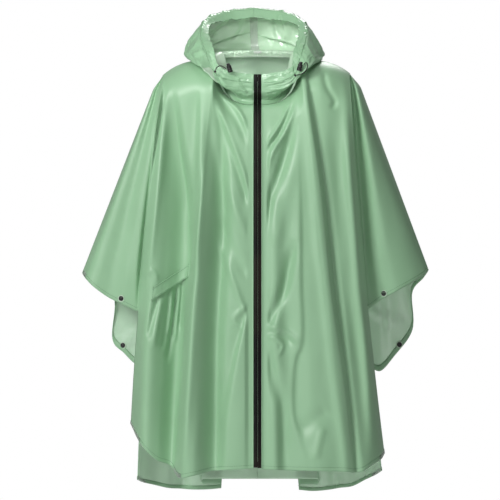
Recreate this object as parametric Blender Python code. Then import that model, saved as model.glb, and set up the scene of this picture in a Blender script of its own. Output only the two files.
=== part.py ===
"""Hooded rain poncho with a full front zip, standing hollow as it is worn.

Metres, +Z up, the front facing -Y, +X to the wearer's left. The origin is the middle of the
wearer's neck at shoulder level. Each cloth piece is a sheet of columns that run from its top
edge down to its hem, and the sheet is thickened outwards. "Right" and "left" are the wearer's.
"""
import math
from collections import namedtuple

import bmesh
import bpy
from mathutils import Vector
from mathutils.bvhtree import BVHTree

# ---------------------------------------------------------------- driving sizes

CLOTH = 0.0012            # wall of the coated cloth
SEAM_GAP = 0.0003         # between two sewn pieces
RIGHT, LEFT = -1, 1       # signs of X
FRONT, BACK = -1, 1       # signs of Y

NECK_HALF = 0.100         # neckline, from the centre to the neck point
NECK_FRONT_OUT = 0.085
NECK_BACK_OUT = 0.075
NECK_FRONT_Z = -0.085
NECK_SIDE_Z = 0.025
NECK_BACK_Z = 0.035
NECK_SCOOP = 1.4          # how late the front neckline rises towards the neck point

SHOULDER_RUN = 0.127      # from the neck point to the shoulder point, in X
SHOULDER_FALL = 0.037
SLEEVE_TOP = (0.240, -0.020)   # where the straight ridge of the sleeve starts
ROLL_DROP = 0.085         # how far below the ridge the cloth turns downright
RIDGE_START = 12          # the ridge is straight after one twelfth of its length
CHEST_OUT = 0.118
BLADE_OUT = 0.122
GIRTH_HALF = 0.310

UPPER_ROWS = 12           # rows from the top edge to the underarm
LOWER_ROWS = 5            # rows from the underarm to the hem

ZIP_HALF = 0.0092
ZIP_WALL = 0.0014
ZIP_TOP_Z = -0.013
ZIP_BOTTOM_Z = -0.949
FRONT_EDGE = ZIP_HALF + SEAM_GAP
PLACKET = 0.020           # flat strip beside the zip
SLIDER_SIZE = (0.0080, 0.0036, 0.0110)
SLIDER_BEHIND = 0.0015    # between the inner face of the tapes and the slider
SLIDER_DROP = 0.012       # below the top of the zip
BOX_SIZE = (0.0100, 0.0030, 0.0120)
BOX_BEHIND = 0.0008
BOX_RISE = 0.008          # above the foot of the zip
BLOCK_EDGE = 0.0007       # bevel of the slider and the box

CORD_DIAMETER = 0.0026
KNOT_RADIUS = 0.0032

# ---------------------------------------------------------------- tables of the cut

# A fold is one column of a body panel. x is its distance from the centre at the top edge, half
# way down and at the hem, out is its distance from the plane of the shoulder ridge.
Fold = namedtuple("Fold", "name x_top x_mid x_hem out_mid out_hem z_hem")

FRONT_RIGHT_FOLDS = (
    Fold("zip edge",      FRONT_EDGE, FRONT_EDGE, FRONT_EDGE, 0.140, 0.160, -0.951),
    Fold("placket",       PLACKET, PLACKET, PLACKET, 0.1405, 0.1605, -0.952),
    Fold("zip crown",     0.042, 0.047, 0.050, 0.141, 0.161, -0.954),
    Fold("breast trough", 0.068, 0.096, 0.106, 0.134, 0.152, -0.958),
    Fold("breast crown",  0.089, 0.132, 0.152, 0.145, 0.172, -0.968),
    Fold("main fold",     0.113, 0.160, 0.187, 0.130, 0.150, -0.973),
    Fold("fold groove",   0.150, 0.187, 0.208, 0.106, 0.118, -0.946),
    Fold("side slope",    0.188, 0.217, 0.242, 0.104, 0.118, -0.932),
    Fold("side ridge",    0.212, 0.250, 0.278, 0.108, 0.104, -0.895),
    Fold("side edge",     0.226, 0.273, 0.304, 0.080, 0.020, -0.848),
)
FRONT_LEFT_FOLDS = (
    Fold("zip edge",      FRONT_EDGE, FRONT_EDGE, FRONT_EDGE, 0.140, 0.160, -0.953),
    Fold("placket",       PLACKET, PLACKET, PLACKET, 0.1405, 0.1605, -0.954),
    Fold("zip crown",     0.038, 0.042, 0.046, 0.147, 0.170, -0.955),
    Fold("breast trough", 0.062, 0.070, 0.080, 0.138, 0.158, -0.956),
    Fold("breast crown",  0.084, 0.116, 0.140, 0.146, 0.172, -0.957),
    Fold("flank crown",   0.100, 0.158, 0.206, 0.135, 0.157, -0.959),
    Fold("main fold",     0.118, 0.177, 0.230, 0.127, 0.146, -0.962),
    Fold("side crown",    0.152, 0.198, 0.252, 0.128, 0.146, -0.958),
    Fold("side trough",   0.186, 0.222, 0.274, 0.110, 0.120, -0.944),
    Fold("side ridge",    0.206, 0.242, 0.294, 0.102, 0.090, -0.932),
    Fold("side edge",     0.220, 0.254, 0.304, 0.082, 0.044, -0.918),
)
BACK_RIGHT_FOLDS = (
    Fold("pleat edge",    0.012, 0.048, 0.088, 0.158, 0.182, -1.010),
    Fold("pleat crown",   0.045, 0.085, 0.118, 0.160, 0.188, -1.013),
    Fold("blade trough",  0.082, 0.124, 0.160, 0.152, 0.178, -1.013),
    Fold("blade crown",   0.118, 0.160, 0.188, 0.154, 0.180, -1.011),
    Fold("side trough",   0.160, 0.196, 0.216, 0.122, 0.136, -1.008),
    Fold("side crown",    0.198, 0.232, 0.252, 0.116, 0.116, -0.999),
    Fold("side ridge",    0.216, 0.254, 0.276, 0.096, 0.076, -0.992),
    Fold("side edge",     0.226, 0.266, 0.289, 0.072, 0.028, -0.984),
)
BACK_LEFT_FOLDS = (
    Fold("pleat edge",    0.012, 0.054, 0.101, 0.158, 0.182, -1.014),
    Fold("pleat crown",   0.045, 0.090, 0.134, 0.161, 0.188, -1.017),
    Fold("blade trough",  0.082, 0.128, 0.170, 0.152, 0.177, -1.014),
    Fold("blade crown",   0.120, 0.164, 0.200, 0.153, 0.176, -1.009),
    Fold("side trough",   0.160, 0.198, 0.230, 0.118, 0.126, -1.003),
    Fold("side crown",    0.196, 0.230, 0.262, 0.114, 0.108, -0.986),
    Fold("side ridge",    0.212, 0.246, 0.284, 0.094, 0.070, -0.974),
    Fold("side edge",     0.220, 0.256, 0.299, 0.072, 0.024, -0.962),
)

# A wing is one column of a sleeve. share runs from the body's side fold to the sleeve's ridge,
# and the cuff is where the column ends.
Wing = namedtuple("Wing", "name share x_cuff z_cuff out_mid out_cuff")

FRONT_RIGHT_WINGS = (
    Wing("fold step",    0.06, 0.292, -0.577, 0.070, 0.060),
    Wing("under slope",  0.26, 0.320, -0.563, 0.061, 0.056),
    Wing("arm hollow",   0.52, 0.356, -0.546, 0.049, 0.046),
    Wing("arm slope",    0.78, 0.390, -0.522, 0.053, 0.048),
    Wing("ridge roll",   0.93, 0.410, -0.502, 0.045, 0.036),
    Wing("ridge",        1.00, 0.421, -0.487, 0.000, 0.000),
)
FRONT_LEFT_WINGS = (
    Wing("fold step",    0.06, 0.266, -0.573, 0.058, 0.046),
    Wing("under trough", 0.26, 0.296, -0.551, 0.052, 0.048),
    Wing("arm crown",    0.52, 0.332, -0.531, 0.064, 0.062),
    Wing("arm slope",    0.78, 0.370, -0.510, 0.054, 0.048),
    Wing("ridge roll",   0.93, 0.398, -0.493, 0.032, 0.024),
    Wing("ridge",        1.00, 0.411, -0.480, 0.000, 0.000),
)
BACK_RIGHT_WINGS = (
    Wing("fold step",    0.06, 0.298, -0.704, 0.064, 0.068),
    Wing("under trough", 0.26, 0.322, -0.680, 0.058, 0.072),
    Wing("corner",       0.50, 0.350, -0.646, 0.068, 0.080),
    Wing("arm slope",    0.76, 0.345, -0.548, 0.056, 0.060),
    Wing("ridge roll",   0.92, 0.398, -0.505, 0.034, 0.030),
    Wing("ridge",        1.00, 0.421, -0.487, 0.000, 0.000),
)
BACK_LEFT_WINGS = (
    Wing("fold step",    0.06, 0.298, -0.723, 0.064, 0.068),
    Wing("under trough", 0.26, 0.328, -0.690, 0.058, 0.072),
    Wing("corner",       0.56, 0.374, -0.624, 0.068, 0.080),
    Wing("arm slope",    0.78, 0.372, -0.536, 0.056, 0.060),
    Wing("ridge roll",   0.92, 0.398, -0.500, 0.034, 0.030),
    Wing("ridge",        1.00, 0.411, -0.480, 0.000, 0.000),
)

# underarm is the share of the side column at which the sleeve ends.
Panel = namedtuple("Panel", "side facing folds wings underarm")
FRONT_RIGHT = Panel(RIGHT, FRONT, FRONT_RIGHT_FOLDS, FRONT_RIGHT_WINGS, 0.675)
FRONT_LEFT = Panel(LEFT, FRONT, FRONT_LEFT_FOLDS, FRONT_LEFT_WINGS, 0.618)
BACK_RIGHT = Panel(RIGHT, BACK, BACK_RIGHT_FOLDS, BACK_RIGHT_WINGS, 0.722)
BACK_LEFT = Panel(LEFT, BACK, BACK_LEFT_FOLDS, BACK_LEFT_WINGS, 0.744)

# The inverted pleat at the centre back. It opens from a shallow groove below the neck.
PLEAT_GROOVE_START = 0.030
PLEAT_GROOVE_RUN = 0.100
PLEAT_OPEN_START = 0.130
PLEAT_OPEN_RUN = 0.850
PLEAT_RETURN = 0.048      # depth of the folded return at the hem
PLEAT_LAYER = 0.0060      # between two layers of the pleat
PLEAT_TURN = 0.0040
UNDERLAY_HEM_Z = -0.987

# A hood section runs from the neck seam to the rim of the face opening. turn is its place on
# the neck seam, from the centre front round to the centre back, and rise is how far the hood
# stands up from the seam before it spreads over the shoulders.
HoodSection = namedtuple("HoodSection", "name turn rise bulge upper casing rim")
HOOD_SECTIONS = (
    HoodSection("zip edge", 5.5, 0.012, (FRONT_EDGE, -0.098, -0.058),
                (FRONT_EDGE, -0.102, -0.046), (FRONT_EDGE, -0.104, -0.034),
                (FRONT_EDGE, -0.103, -0.012)),
    HoodSection("lock", 36, 0.016, (0.074, -0.102, -0.046), (0.085, -0.111, -0.031),
                (0.089, -0.111, -0.018), (0.083, -0.107, 0.003)),
    HoodSection("cheek", 64, 0.070, (0.124, -0.116, -0.001), (0.131, -0.104, 0.016),
                (0.119, -0.085, 0.038), (0.098, -0.076, 0.046)),
    HoodSection("side", 90, 0.014, (0.161, -0.018, 0.0245), (0.163, -0.008, 0.049),
                (0.134, -0.006, 0.094), (0.112, -0.018, 0.088)),
    HoodSection("quarter", 120, 0.014, (0.148, 0.078, 0.042), (0.150, 0.078, 0.080),
                (0.119, 0.058, 0.127), (0.104, 0.038, 0.115)),
    HoodSection("crown side", 150, 0.014, (0.092, 0.142, 0.050), (0.094, 0.138, 0.100),
                (0.068, 0.108, 0.149), (0.058, 0.082, 0.127)),
    HoodSection("centre seam", 180, 0.014, (0.0, 0.164, 0.052), (0.0, 0.158, 0.108),
                (0.0, 0.120, 0.154), (0.0, 0.092, 0.131)),
)
NECK_FACET = 0.0034        # room for the flat facets of the steep sides of the neckline
HOOD_STAND_LEAN = 0.004    # the stand leans in over the throat and out behind the neck
HOOD_SLUMP = -0.009       # the hood leans to the wearer's right
HOOD_COLUMNS = 12         # of each half, from the zip to the centre seam
HOOD_ROWS = 12            # from the neck seam to the casing
CASING_WALL = 0.0018      # two layers with the drawcord between them
SEAM_TAPE_HALF = 0.009
SEAM_TAPE_WALL = 0.0008

# Snaps: x, z on the panel they are fixed to, and the side of the cloth that shows the cap.
Snap = namedtuple("Snap", "name x z facing")
SNAPS = (
    Snap("front_right", -0.326, -0.548, FRONT),
    Snap("back_right", -0.324, -0.662, BACK),
    Snap("front_left", 0.302, -0.536, FRONT),
    Snap("back_left", 0.342, -0.660, BACK),
)
SNAP_RADIUS = 0.006
SNAP_HEIGHT = 0.0022
SNAP_LIFT = 0.0006

# The pocket's slanted mouth is on the right front.
WELT_TOP_INNER = (-0.162, -0.465)
WELT_TOP_OUTER = (-0.251, -0.523)
WELT_WIDTH = 0.031
WELT_WALL = 0.0018
WELT_LIFT = 0.0030
BAG_TOP_OUTER = (-0.245, -0.519)
BAG_DEPTH = 0.150
BAG_LIFT = 0.0035

# Cord locks: a barrel with a bore, and a sprung plunger that pinches the cord.
LOCK_RADIUS = 0.0060
LOCK_LENGTH = 0.0160
LOCK_BORE_RADIUS = 0.0046
LOCK_BORE_DEPTH = 0.0100
PLUNGER_RADIUS = 0.0042
PLUNGER_INSIDE = 0.0060
PLUNGER_OUTSIDE = 0.0060
ROUND_SIDES = 16

Lock = namedtuple("Lock", "name side base axis cord")
LOCKS = (
    Lock("right", RIGHT, (-0.0640, -0.1205, -0.0085), (-0.30, -0.12, 0.92),
         ((-0.0748, -0.1215, 0.0000), (-0.0800, -0.1225, 0.0030), (-0.0855, -0.1235, 0.0060),
          (-0.0920, -0.1240, 0.0060), (-0.0975, -0.1240, 0.0020), (-0.1000, -0.1235, -0.0040))),
    Lock("left", LEFT, (0.0985, -0.1195, -0.0050), (0.24, -0.08, 0.96),
         ((0.1102, -0.1210, 0.0095), (0.1136, -0.1217, 0.0135), (0.1174, -0.1225, 0.0130),
          (0.1188, -0.1230, 0.0060), (0.1165, -0.1235, -0.0020), (0.1110, -0.1235, -0.0090),
          (0.1030, -0.1230, -0.0135), (0.0930, -0.1225, -0.0155))),
)

# ---------------------------------------------------------------- materials


def finish(name, colour, roughness):
    """Plain Principled material of one colour."""
    material = bpy.data.materials.new(name)
    material.use_nodes = True
    shader = material.node_tree.nodes["Principled BSDF"]
    shader.inputs["Base Color"].default_value = (*colour, 1.0)
    shader.inputs["Roughness"].default_value = roughness
    shader.inputs["Metallic"].default_value = 0.0
    return material


SAGE = (0.300, 0.515, 0.315)
PALE_SAGE = (0.400, 0.600, 0.410)
BLACK = (0.012, 0.012, 0.010)

# ---------------------------------------------------------------- curves and surfaces


def spline(points, place):
    """Point of the smooth curve through the points; place counts from 0 at the first one."""
    last = len(points) - 1
    start = min(int(place), last - 1)
    t = place - start
    here, there = points[start], points[start + 1]
    before = points[start - 1] if start > 0 else here * 2 - there
    after = points[start + 2] if start + 2 <= last else there * 2 - here
    return (here * 2 + (there - before) * t
            + (before * 2 - here * 5 + there * 4 - after) * t ** 2
            + (here * 3 - before - there * 3 + after) * t ** 3) * 0.5


def bend(top, middle, bottom, share):
    """Value of the parabola through three values at shares 0, 1/2 and 1."""
    return (top * (1 - share) * (1 - 2 * share) + middle * 4 * share * (1 - share)
            + bottom * share * (2 * share - 1))


def ease(value):
    """Smooth step from 0 to 1."""
    value = min(max(value, 0.0), 1.0)
    return value * value * (3 - 2 * value)


def roll(drop):
    """How far cloth has turned from lying over the shoulder to hanging, 0 to 1."""
    left = 1 - min(max(drop / ROLL_DROP, 0.0), 1.0)
    return math.sqrt(1 - left * left)


def neck_point(turn):
    """Neckline at an angle from the centre front (0) to the centre back (180)."""
    angle = math.radians(turn)
    across, ahead = math.sin(angle), math.cos(angle)
    if ahead > 0:
        rise = (1 - ahead) ** NECK_SCOOP
        z = NECK_FRONT_Z + (NECK_SIDE_Z - NECK_FRONT_Z) * rise
        return Vector((NECK_HALF * across, -NECK_FRONT_OUT * ahead, z))
    z = NECK_SIDE_Z - (NECK_BACK_Z - NECK_SIDE_Z) * ahead
    return Vector((NECK_HALF * across, -NECK_BACK_OUT * ahead, z))


def top_edge(x, facing):
    """Top edge of a panel at distance x: the neckline, then the ridge of the shoulder."""
    if x < NECK_HALF:
        turn = math.degrees(math.asin(x / NECK_HALF))
        return neck_point(turn if facing == FRONT else 180 - turn)
    fall = SHOULDER_FALL * ((x - NECK_HALF) / SHOULDER_RUN) ** 3
    return Vector((x, 0.0, NECK_SIDE_Z - fall))


def body_point(panel, fold, share):
    """Point of one fold of a panel; share runs from its top edge to its hem."""
    top = top_edge(fold.x_top, panel.facing)
    z = top.z + (fold.z_hem - top.z) * share
    depth = CHEST_OUT if panel.facing == FRONT else BLADE_OUT
    chest = depth * math.sqrt(1 - (fold.x_top / GIRTH_HALF) ** 2)
    out = bend(chest, fold.out_mid, fold.out_hem, share) * panel.facing
    y = top.y + (out - top.y) * roll(top.z - z)
    seam = panel.facing * SEAM_GAP / 2 if fold.x_top >= NECK_HALF else 0.0
    x = bend(fold.x_top, fold.x_mid, fold.x_hem, share)
    return Vector((panel.side * x, y + seam, z))


def wing_point(panel, wing, share):
    """Point of one column of a sleeve, between the body's side fold and the ridge."""
    side_fold = panel.folds[-1]
    inner = body_point(panel, side_fold, share)
    shoulder = top_edge(side_fold.x_top, panel.facing)
    done = share / panel.underarm
    tip = panel.wings[-1]
    ridge_z = shoulder.z + (tip.z_cuff - shoulder.z) * done
    slope = (tip.x_cuff - SLEEVE_TOP[0]) / (tip.z_cuff - SLEEVE_TOP[1])
    ridge_x = SLEEVE_TOP[0] + slope * (ridge_z - SLEEVE_TOP[1])
    ridge_x = shoulder.x + (ridge_x - shoulder.x) * math.sin(min(done * RIDGE_START, 1) * math.pi / 2)
    x = abs(inner.x) + (ridge_x - abs(inner.x)) * wing.share
    z = inner.z + (ridge_z - inner.z) * wing.share
    underarm = body_point(panel, side_fold, panel.underarm)
    chord_x = abs(underarm.x) + (tip.x_cuff - abs(underarm.x)) * wing.share
    chord_z = underarm.z + (tip.z_cuff - underarm.z) * wing.share
    x += (wing.x_cuff - chord_x) * done ** 2
    z += (wing.z_cuff - chord_z) * done ** 2
    out = wing.out_mid + (wing.out_cuff - wing.out_mid) * done ** 2
    y = panel.facing * (out * roll(shoulder.z - z) + SEAM_GAP / 2)
    return Vector((panel.side * x, y, z))


def pleat_points(panel, share):
    """One side of the centre back pleat at a row: from its outer edge in to the underlay."""
    fold = panel.folds[0]
    edge = body_point(panel, fold, share)
    top = top_edge(fold.x_top, panel.facing)
    drop = top.z - edge.z
    groove = ease((drop - PLEAT_GROOVE_START) / PLEAT_GROOVE_RUN)
    opening = ease((drop - PLEAT_OPEN_START) / PLEAT_OPEN_RUN)
    reach = PLEAT_RETURN * opening
    turn = PLEAT_TURN * min(1.0, reach / (3 * PLEAT_TURN))
    folded = ((0.0, 0.5), (turn, 1.0), (reach - turn, 1.0), (reach, 1.5), (reach - turn, 2.0))
    under_z = top.z + (UNDERLAY_HEM_Z - top.z) * share
    points = []
    for number, (offset, layer) in enumerate(folded, start=1):
        spread = abs(edge.x) * (1 - number / (len(folded) + 1))
        x = spread + (abs(edge.x) + offset - spread) * groove
        z = edge.z + (under_z - edge.z) * layer / 2
        points.append(Vector((panel.side * x, edge.y - layer * PLEAT_LAYER * groove, z)))
    centre = Vector((0.0, edge.y - 2 * PLEAT_LAYER * groove, under_z))
    return points, centre


def row_shares(underarm):
    """Rows of a panel: close together over the shoulder, with one at the underarm."""
    upper = [underarm * (k / UPPER_ROWS) * (0.4 + 0.6 * k / UPPER_ROWS)
             for k in range(UPPER_ROWS + 1)]
    lower = [underarm + (1 - underarm) * k / LOWER_ROWS for k in range(1, LOWER_ROWS + 1)]
    return upper + lower


def body_columns(panel, between):
    """Columns of a body panel from its centre to its side, with some between two folds."""
    shares = row_shares(panel.underarm)
    values = [Vector(fold[1:]) for fold in panel.folds]
    steps = (len(panel.folds) - 1) * between
    folds = [Fold("between", *spline(values, step / between)) for step in range(steps + 1)]
    return [[body_point(panel, fold, share) for share in shares] for fold in folds]


def wing_columns(panel):
    """Columns of a sleeve from the side fold to the ridge."""
    shares = row_shares(panel.underarm)[:UPPER_ROWS + 1]
    return [[wing_point(panel, wing, share) for share in shares] for wing in panel.wings]


def hood_levels(section):
    """Points of one hood section, from the neck seam to the rim, on the wearer's left."""
    seam = neck_point(section.turn)
    outward = Vector((seam.x, seam.y, 0)).normalized()
    neck = seam - outward * (CLOTH + SEAM_GAP + NECK_FACET * abs(outward.x))
    neck.z += SEAM_GAP
    lean = HOOD_STAND_LEAN * (ease(section.turn / 90 - 0.5) - 0.5) * 2
    stand = neck + outward * lean + Vector((0, 0, section.rise))
    if section.name in ("zip edge", "centre seam"):
        neck.x = stand.x = section.bulge[0]
    return [neck, stand, Vector(section.bulge), Vector(section.upper),
            Vector(section.casing), Vector(section.rim)]


CASING_PLACE = 4          # the level of the casing's stitching, counted from the neck seam
RIM_PLACE = 5


def hood_point(side, around, place):
    """Point of the hood; around runs from the zip (0) to the centre seam (6)."""
    levels = [spline(hood_levels(section), place) for section in HOOD_SECTIONS]
    first, last = levels[1].copy(), levels[-2].copy()
    first.x, last.x = 2 * levels[0].x - first.x, -last.x
    point = spline([first] + levels + [last], around + 1)
    slump = HOOD_SLUMP * ease((place - 1) / 2) * ease(around / 2)
    seam = SEAM_GAP / 2 if around > len(HOOD_SECTIONS) - 1.001 else 0.0
    return Vector((side * (point.x + seam) + slump, point.y, point.z))


# ---------------------------------------------------------------- building meshes


def sheet_mesh(name, columns, flip):
    """Sheet through columns of points; two neighbours are joined down to the shorter one."""
    mesh = bmesh.new()
    grid = [[mesh.verts.new(point) for point in column] for column in columns]
    for left, right in zip(grid, grid[1:]):
        for row in range(min(len(left), len(right)) - 1):
            corners = [left[row], left[row + 1], right[row + 1], right[row]]
            mesh.faces.new(corners[::-1] if flip else corners)
    bmesh.ops.remove_doubles(mesh, verts=mesh.verts, dist=0.00005)
    data = bpy.data.meshes.new(name)
    mesh.to_mesh(data)
    mesh.free()
    return data


def cloth(name, columns, material, flip, wall=CLOTH, lift=0.0, inwards=False):
    """Cloth piece: a sheet, moved off what it lies on by lift, thickened to its wall."""
    data = sheet_mesh(name, columns, flip)
    way = -1 if inwards else 1
    moves = [vertex.normal * lift * way for vertex in data.vertices]
    for vertex, move in zip(data.vertices, moves):
        vertex.co += move
    data.materials.append(material)
    data.shade_smooth()
    piece = bpy.data.objects.new(name, data)
    bpy.context.scene.collection.objects.link(piece)
    thicken = piece.modifiers.new("wall", "SOLIDIFY")
    thicken.thickness = wall
    thicken.offset = way
    thicken.use_even_offset = False
    thicken.use_rim = True
    return piece


def turned(name, profile, material):
    """Turned piece: a profile of (radius, height) spun about Z."""
    mesh = bmesh.new()
    points = [mesh.verts.new((radius, 0, height)) for radius, height in profile]
    edges = [mesh.edges.new(pair) for pair in zip(points, points[1:])]
    bmesh.ops.spin(mesh, geom=points + edges, axis=(0, 0, 1), cent=(0, 0, 0),
                   angle=math.tau, steps=ROUND_SIDES, use_merge=True)
    bmesh.ops.remove_doubles(mesh, verts=mesh.verts, dist=0.00005)
    bmesh.ops.recalc_face_normals(mesh, faces=mesh.faces)
    data = bpy.data.meshes.new(name)
    mesh.to_mesh(data)
    mesh.free()
    data.materials.append(material)
    data.shade_smooth()
    data.set_sharp_from_angle(angle=math.radians(40))
    piece = bpy.data.objects.new(name, data)
    bpy.context.scene.collection.objects.link(piece)
    return piece


def block(name, size, centre, material):
    """Small box with its edges rounded."""
    mesh = bmesh.new()
    bmesh.ops.create_cube(mesh, size=1.0)
    bmesh.ops.scale(mesh, vec=size, verts=mesh.verts)
    bmesh.ops.bevel(mesh, geom=list(mesh.edges), offset=BLOCK_EDGE, segments=1,
                    profile=0.5, affect="EDGES", material=-1)
    data = bpy.data.meshes.new(name)
    mesh.to_mesh(data)
    mesh.free()
    data.materials.append(material)
    piece = bpy.data.objects.new(name, data)
    piece.location = centre
    bpy.context.scene.collection.objects.link(piece)
    return piece


def aim(piece, place, direction):
    """Put a turned piece at a place with its Z along a direction."""
    piece.rotation_mode = "QUATERNION"
    piece.rotation_quaternion = Vector(direction).to_track_quat("Z", "Y")
    piece.location = place


# ---------------------------------------------------------------- the pieces


def make_fronts(material):
    """Two front panels, each cut in one with the front of its sleeve."""
    pieces = {}
    for name, panel in (("front_right", FRONT_RIGHT), ("front_left", FRONT_LEFT)):
        columns = body_columns(panel, between=2) + wing_columns(panel)
        pieces[name] = cloth(name, columns, material, flip=panel.side == RIGHT)
    return pieces


def make_back(material):
    """Back panel with both sleeves' backs and the inverted pleat between its halves."""
    halves = []
    for panel in (BACK_RIGHT, BACK_LEFT):
        shares = row_shares(panel.underarm)
        pleats = [pleat_points(panel, share) for share in shares]
        inner = [[points[k] for points, _ in pleats] for k in reversed(range(5))]
        centre = [middle for _, middle in pleats]
        halves.append((centre, inner + body_columns(panel, between=2) + wing_columns(panel)))
    centre = [(a + b) / 2 for a, b in zip(halves[0][0], halves[1][0])]
    columns = halves[0][1][::-1] + [centre] + halves[1][1]
    return cloth("back", columns, material, flip=False)


def make_hood(material, tape):
    """Two hood halves, the casing of the rim and the tape that seals the centre seam."""
    span = len(HOOD_SECTIONS) - 1
    arounds = [span * k / HOOD_COLUMNS for k in range(HOOD_COLUMNS + 1)]
    places = [CASING_PLACE * k / HOOD_ROWS for k in range(HOOD_ROWS + 1)]
    for name, side in (("hood_right", RIGHT), ("hood_left", LEFT)):
        columns = [[hood_point(side, around, place) for place in reversed(places)]
                   for around in arounds]
        cloth(name, columns, material, flip=side == RIGHT)
    gap = SEAM_GAP / (Vector(HOOD_SECTIONS[-1].rim) - Vector(HOOD_SECTIONS[-1].casing)).length
    band = [RIM_PLACE, (RIM_PLACE + CASING_PLACE) / 2, CASING_PLACE + gap * 4]
    right = [[hood_point(RIGHT, around, place) for place in band] for around in arounds[:-1]]
    left = [[hood_point(LEFT, around, place) for place in band] for around in arounds[:-1]]
    middle = [hood_point(LEFT, span - 0.002, place) for place in band]
    for point in middle:
        point.x = HOOD_SLUMP
    cloth("hood_casing", right + [middle] + left[::-1], material, flip=True, wall=CASING_WALL)
    strip = []
    for side in (RIGHT, 0, LEFT):
        column = []
        for place in reversed(places[1:]):
            middle = hood_point(LEFT, span, place)
            beside = hood_point(side or LEFT, arounds[-2], place)
            across = (beside - middle).normalized() * SEAM_TAPE_HALF * abs(side)
            column.append(middle + across)
        strip.append(column)
    cloth("hood_seam_tape", strip, tape, flip=True, wall=SEAM_TAPE_WALL, lift=SEAM_GAP * 2,
          inwards=True)


def zip_line():
    """Centre front line from the hem to the top of the collar, as (y, z)."""
    shares = row_shares(FRONT_RIGHT.underarm)
    body = [body_point(FRONT_RIGHT, FRONT_RIGHT_FOLDS[0], share) for share in shares[1:]]
    collar = [hood_point(LEFT, 0, RIM_PLACE * k / 8) for k in range(1, 8)]
    line = [(point.y, point.z) for point in body[::-1] + collar]
    line[0] = (line[0][0], ZIP_BOTTOM_Z)
    line.append((hood_point(LEFT, 0, RIM_PLACE).y, ZIP_TOP_Z))
    return line


def make_zip(tape, moulded):
    """Two coated tapes with the coil behind them, the slider at the top and the box below."""
    line = zip_line()
    for name, side in (("zip_tape_right", RIGHT), ("zip_tape_left", LEFT)):
        columns = [[Vector((side * x, y, z)) for y, z in line[::-1]]
                   for x in (SEAM_GAP / 2, ZIP_HALF)]
        cloth(name, columns, tape, flip=side == RIGHT, wall=ZIP_WALL)
    slider_y = line[-2][0] + SLIDER_BEHIND + SLIDER_SIZE[1] / 2
    box_y = line[0][0] + BOX_BEHIND + BOX_SIZE[1] / 2
    block("zip_slider", SLIDER_SIZE, (0, slider_y, ZIP_TOP_Z - SLIDER_DROP), moulded)
    block("zip_box", BOX_SIZE, (0, box_y, ZIP_BOTTOM_Z + BOX_RISE), moulded)


def panel_rays(piece):
    """Tree of a cloth piece's finished walls, for finding points on them."""
    depsgraph = bpy.context.evaluated_depsgraph_get()
    depsgraph.update()
    return BVHTree.FromObject(piece, depsgraph)


def wall_point(tree, x, z, way):
    """Where a line along Y, going the way given, first meets a wall, and the wall's normal."""
    place, normal, _, _ = tree.ray_cast(Vector((x, -way, z)), Vector((0, way, 0)))
    return place, normal


def pocket_patch(tree, way, top_inner, top_outer, depth, columns, rows):
    """Points of a slanted patch on a front's wall, from its outer to its inner end."""
    top_inner, top_outer = Vector(top_inner), Vector(top_outer)
    patch = []
    for column in range(columns + 1):
        top = top_outer + (top_inner - top_outer) * column / columns
        places = [top - Vector((0, depth * row / rows)) for row in range(rows + 1)]
        patch.append([wall_point(tree, place.x, place.y, way)[0] for place in places])
    return patch


def make_pocket(front, material):
    """The slanted welt of the pocket, and its flat bag inside the front."""
    tree = panel_rays(front)
    welt = pocket_patch(tree, 1, WELT_TOP_INNER, WELT_TOP_OUTER, WELT_WIDTH, 10, 3)
    cloth("pocket_welt", welt, material, flip=False, wall=WELT_WALL, lift=WELT_LIFT)
    bag = pocket_patch(tree, -1, WELT_TOP_INNER, BAG_TOP_OUTER, BAG_DEPTH, 8, 10)
    cloth("pocket_bag", bag, material, flip=False, lift=BAG_LIFT, inwards=True)


def make_snaps(fronts, back, material):
    """Four snaps, each with a cap on the outer face and a stud on the inner face."""
    cap = ((0, 0), (SNAP_RADIUS, 0), (SNAP_RADIUS, SNAP_HEIGHT * 0.5),
           (SNAP_RADIUS * 0.8, SNAP_HEIGHT), (0, SNAP_HEIGHT))
    for snap in SNAPS:
        piece = back if snap.facing == BACK else fronts[snap.name]
        tree = panel_rays(piece)
        for part, way in (("cap", -snap.facing), ("stud", snap.facing)):
            place, normal = wall_point(tree, snap.x, snap.z, way)
            knob = turned(f"snap_{snap.name}_{part}", cap, material)
            aim(knob, place + normal * SNAP_LIFT, normal)


def make_locks(material):
    """Cord locks at the ends of the casing, each with its free cord end and knot."""
    barrel = ((0, 0), (LOCK_RADIUS * 0.8, 0), (LOCK_RADIUS, LOCK_RADIUS * 0.2),
              (LOCK_RADIUS, LOCK_LENGTH), (LOCK_BORE_RADIUS, LOCK_LENGTH),
              (LOCK_BORE_RADIUS, LOCK_LENGTH - LOCK_BORE_DEPTH),
              (0, LOCK_LENGTH - LOCK_BORE_DEPTH))
    low = LOCK_LENGTH - PLUNGER_INSIDE
    high = LOCK_LENGTH + PLUNGER_OUTSIDE
    plunger = ((0, low), (PLUNGER_RADIUS, low), (PLUNGER_RADIUS, high - 0.001),
               (PLUNGER_RADIUS - 0.001, high), (0, high))
    knot = [(KNOT_RADIUS * math.sin(math.pi * k / 8), -KNOT_RADIUS * math.cos(math.pi * k / 8))
            for k in range(9)]
    for lock in LOCKS:
        for part, profile in (("barrel", barrel), ("plunger", plunger)):
            aim(turned(f"lock_{lock.name}_{part}", profile, material), lock.base, lock.axis)
        route = [Vector(point) for point in lock.cord]
        make_cord(f"cord_{lock.name}", route, material)
        end = (route[-1] - route[-2]).normalized()
        aim(turned(f"knot_{lock.name}", knot, material),
            route[-1] + end * (KNOT_RADIUS + SEAM_GAP), end)


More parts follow.
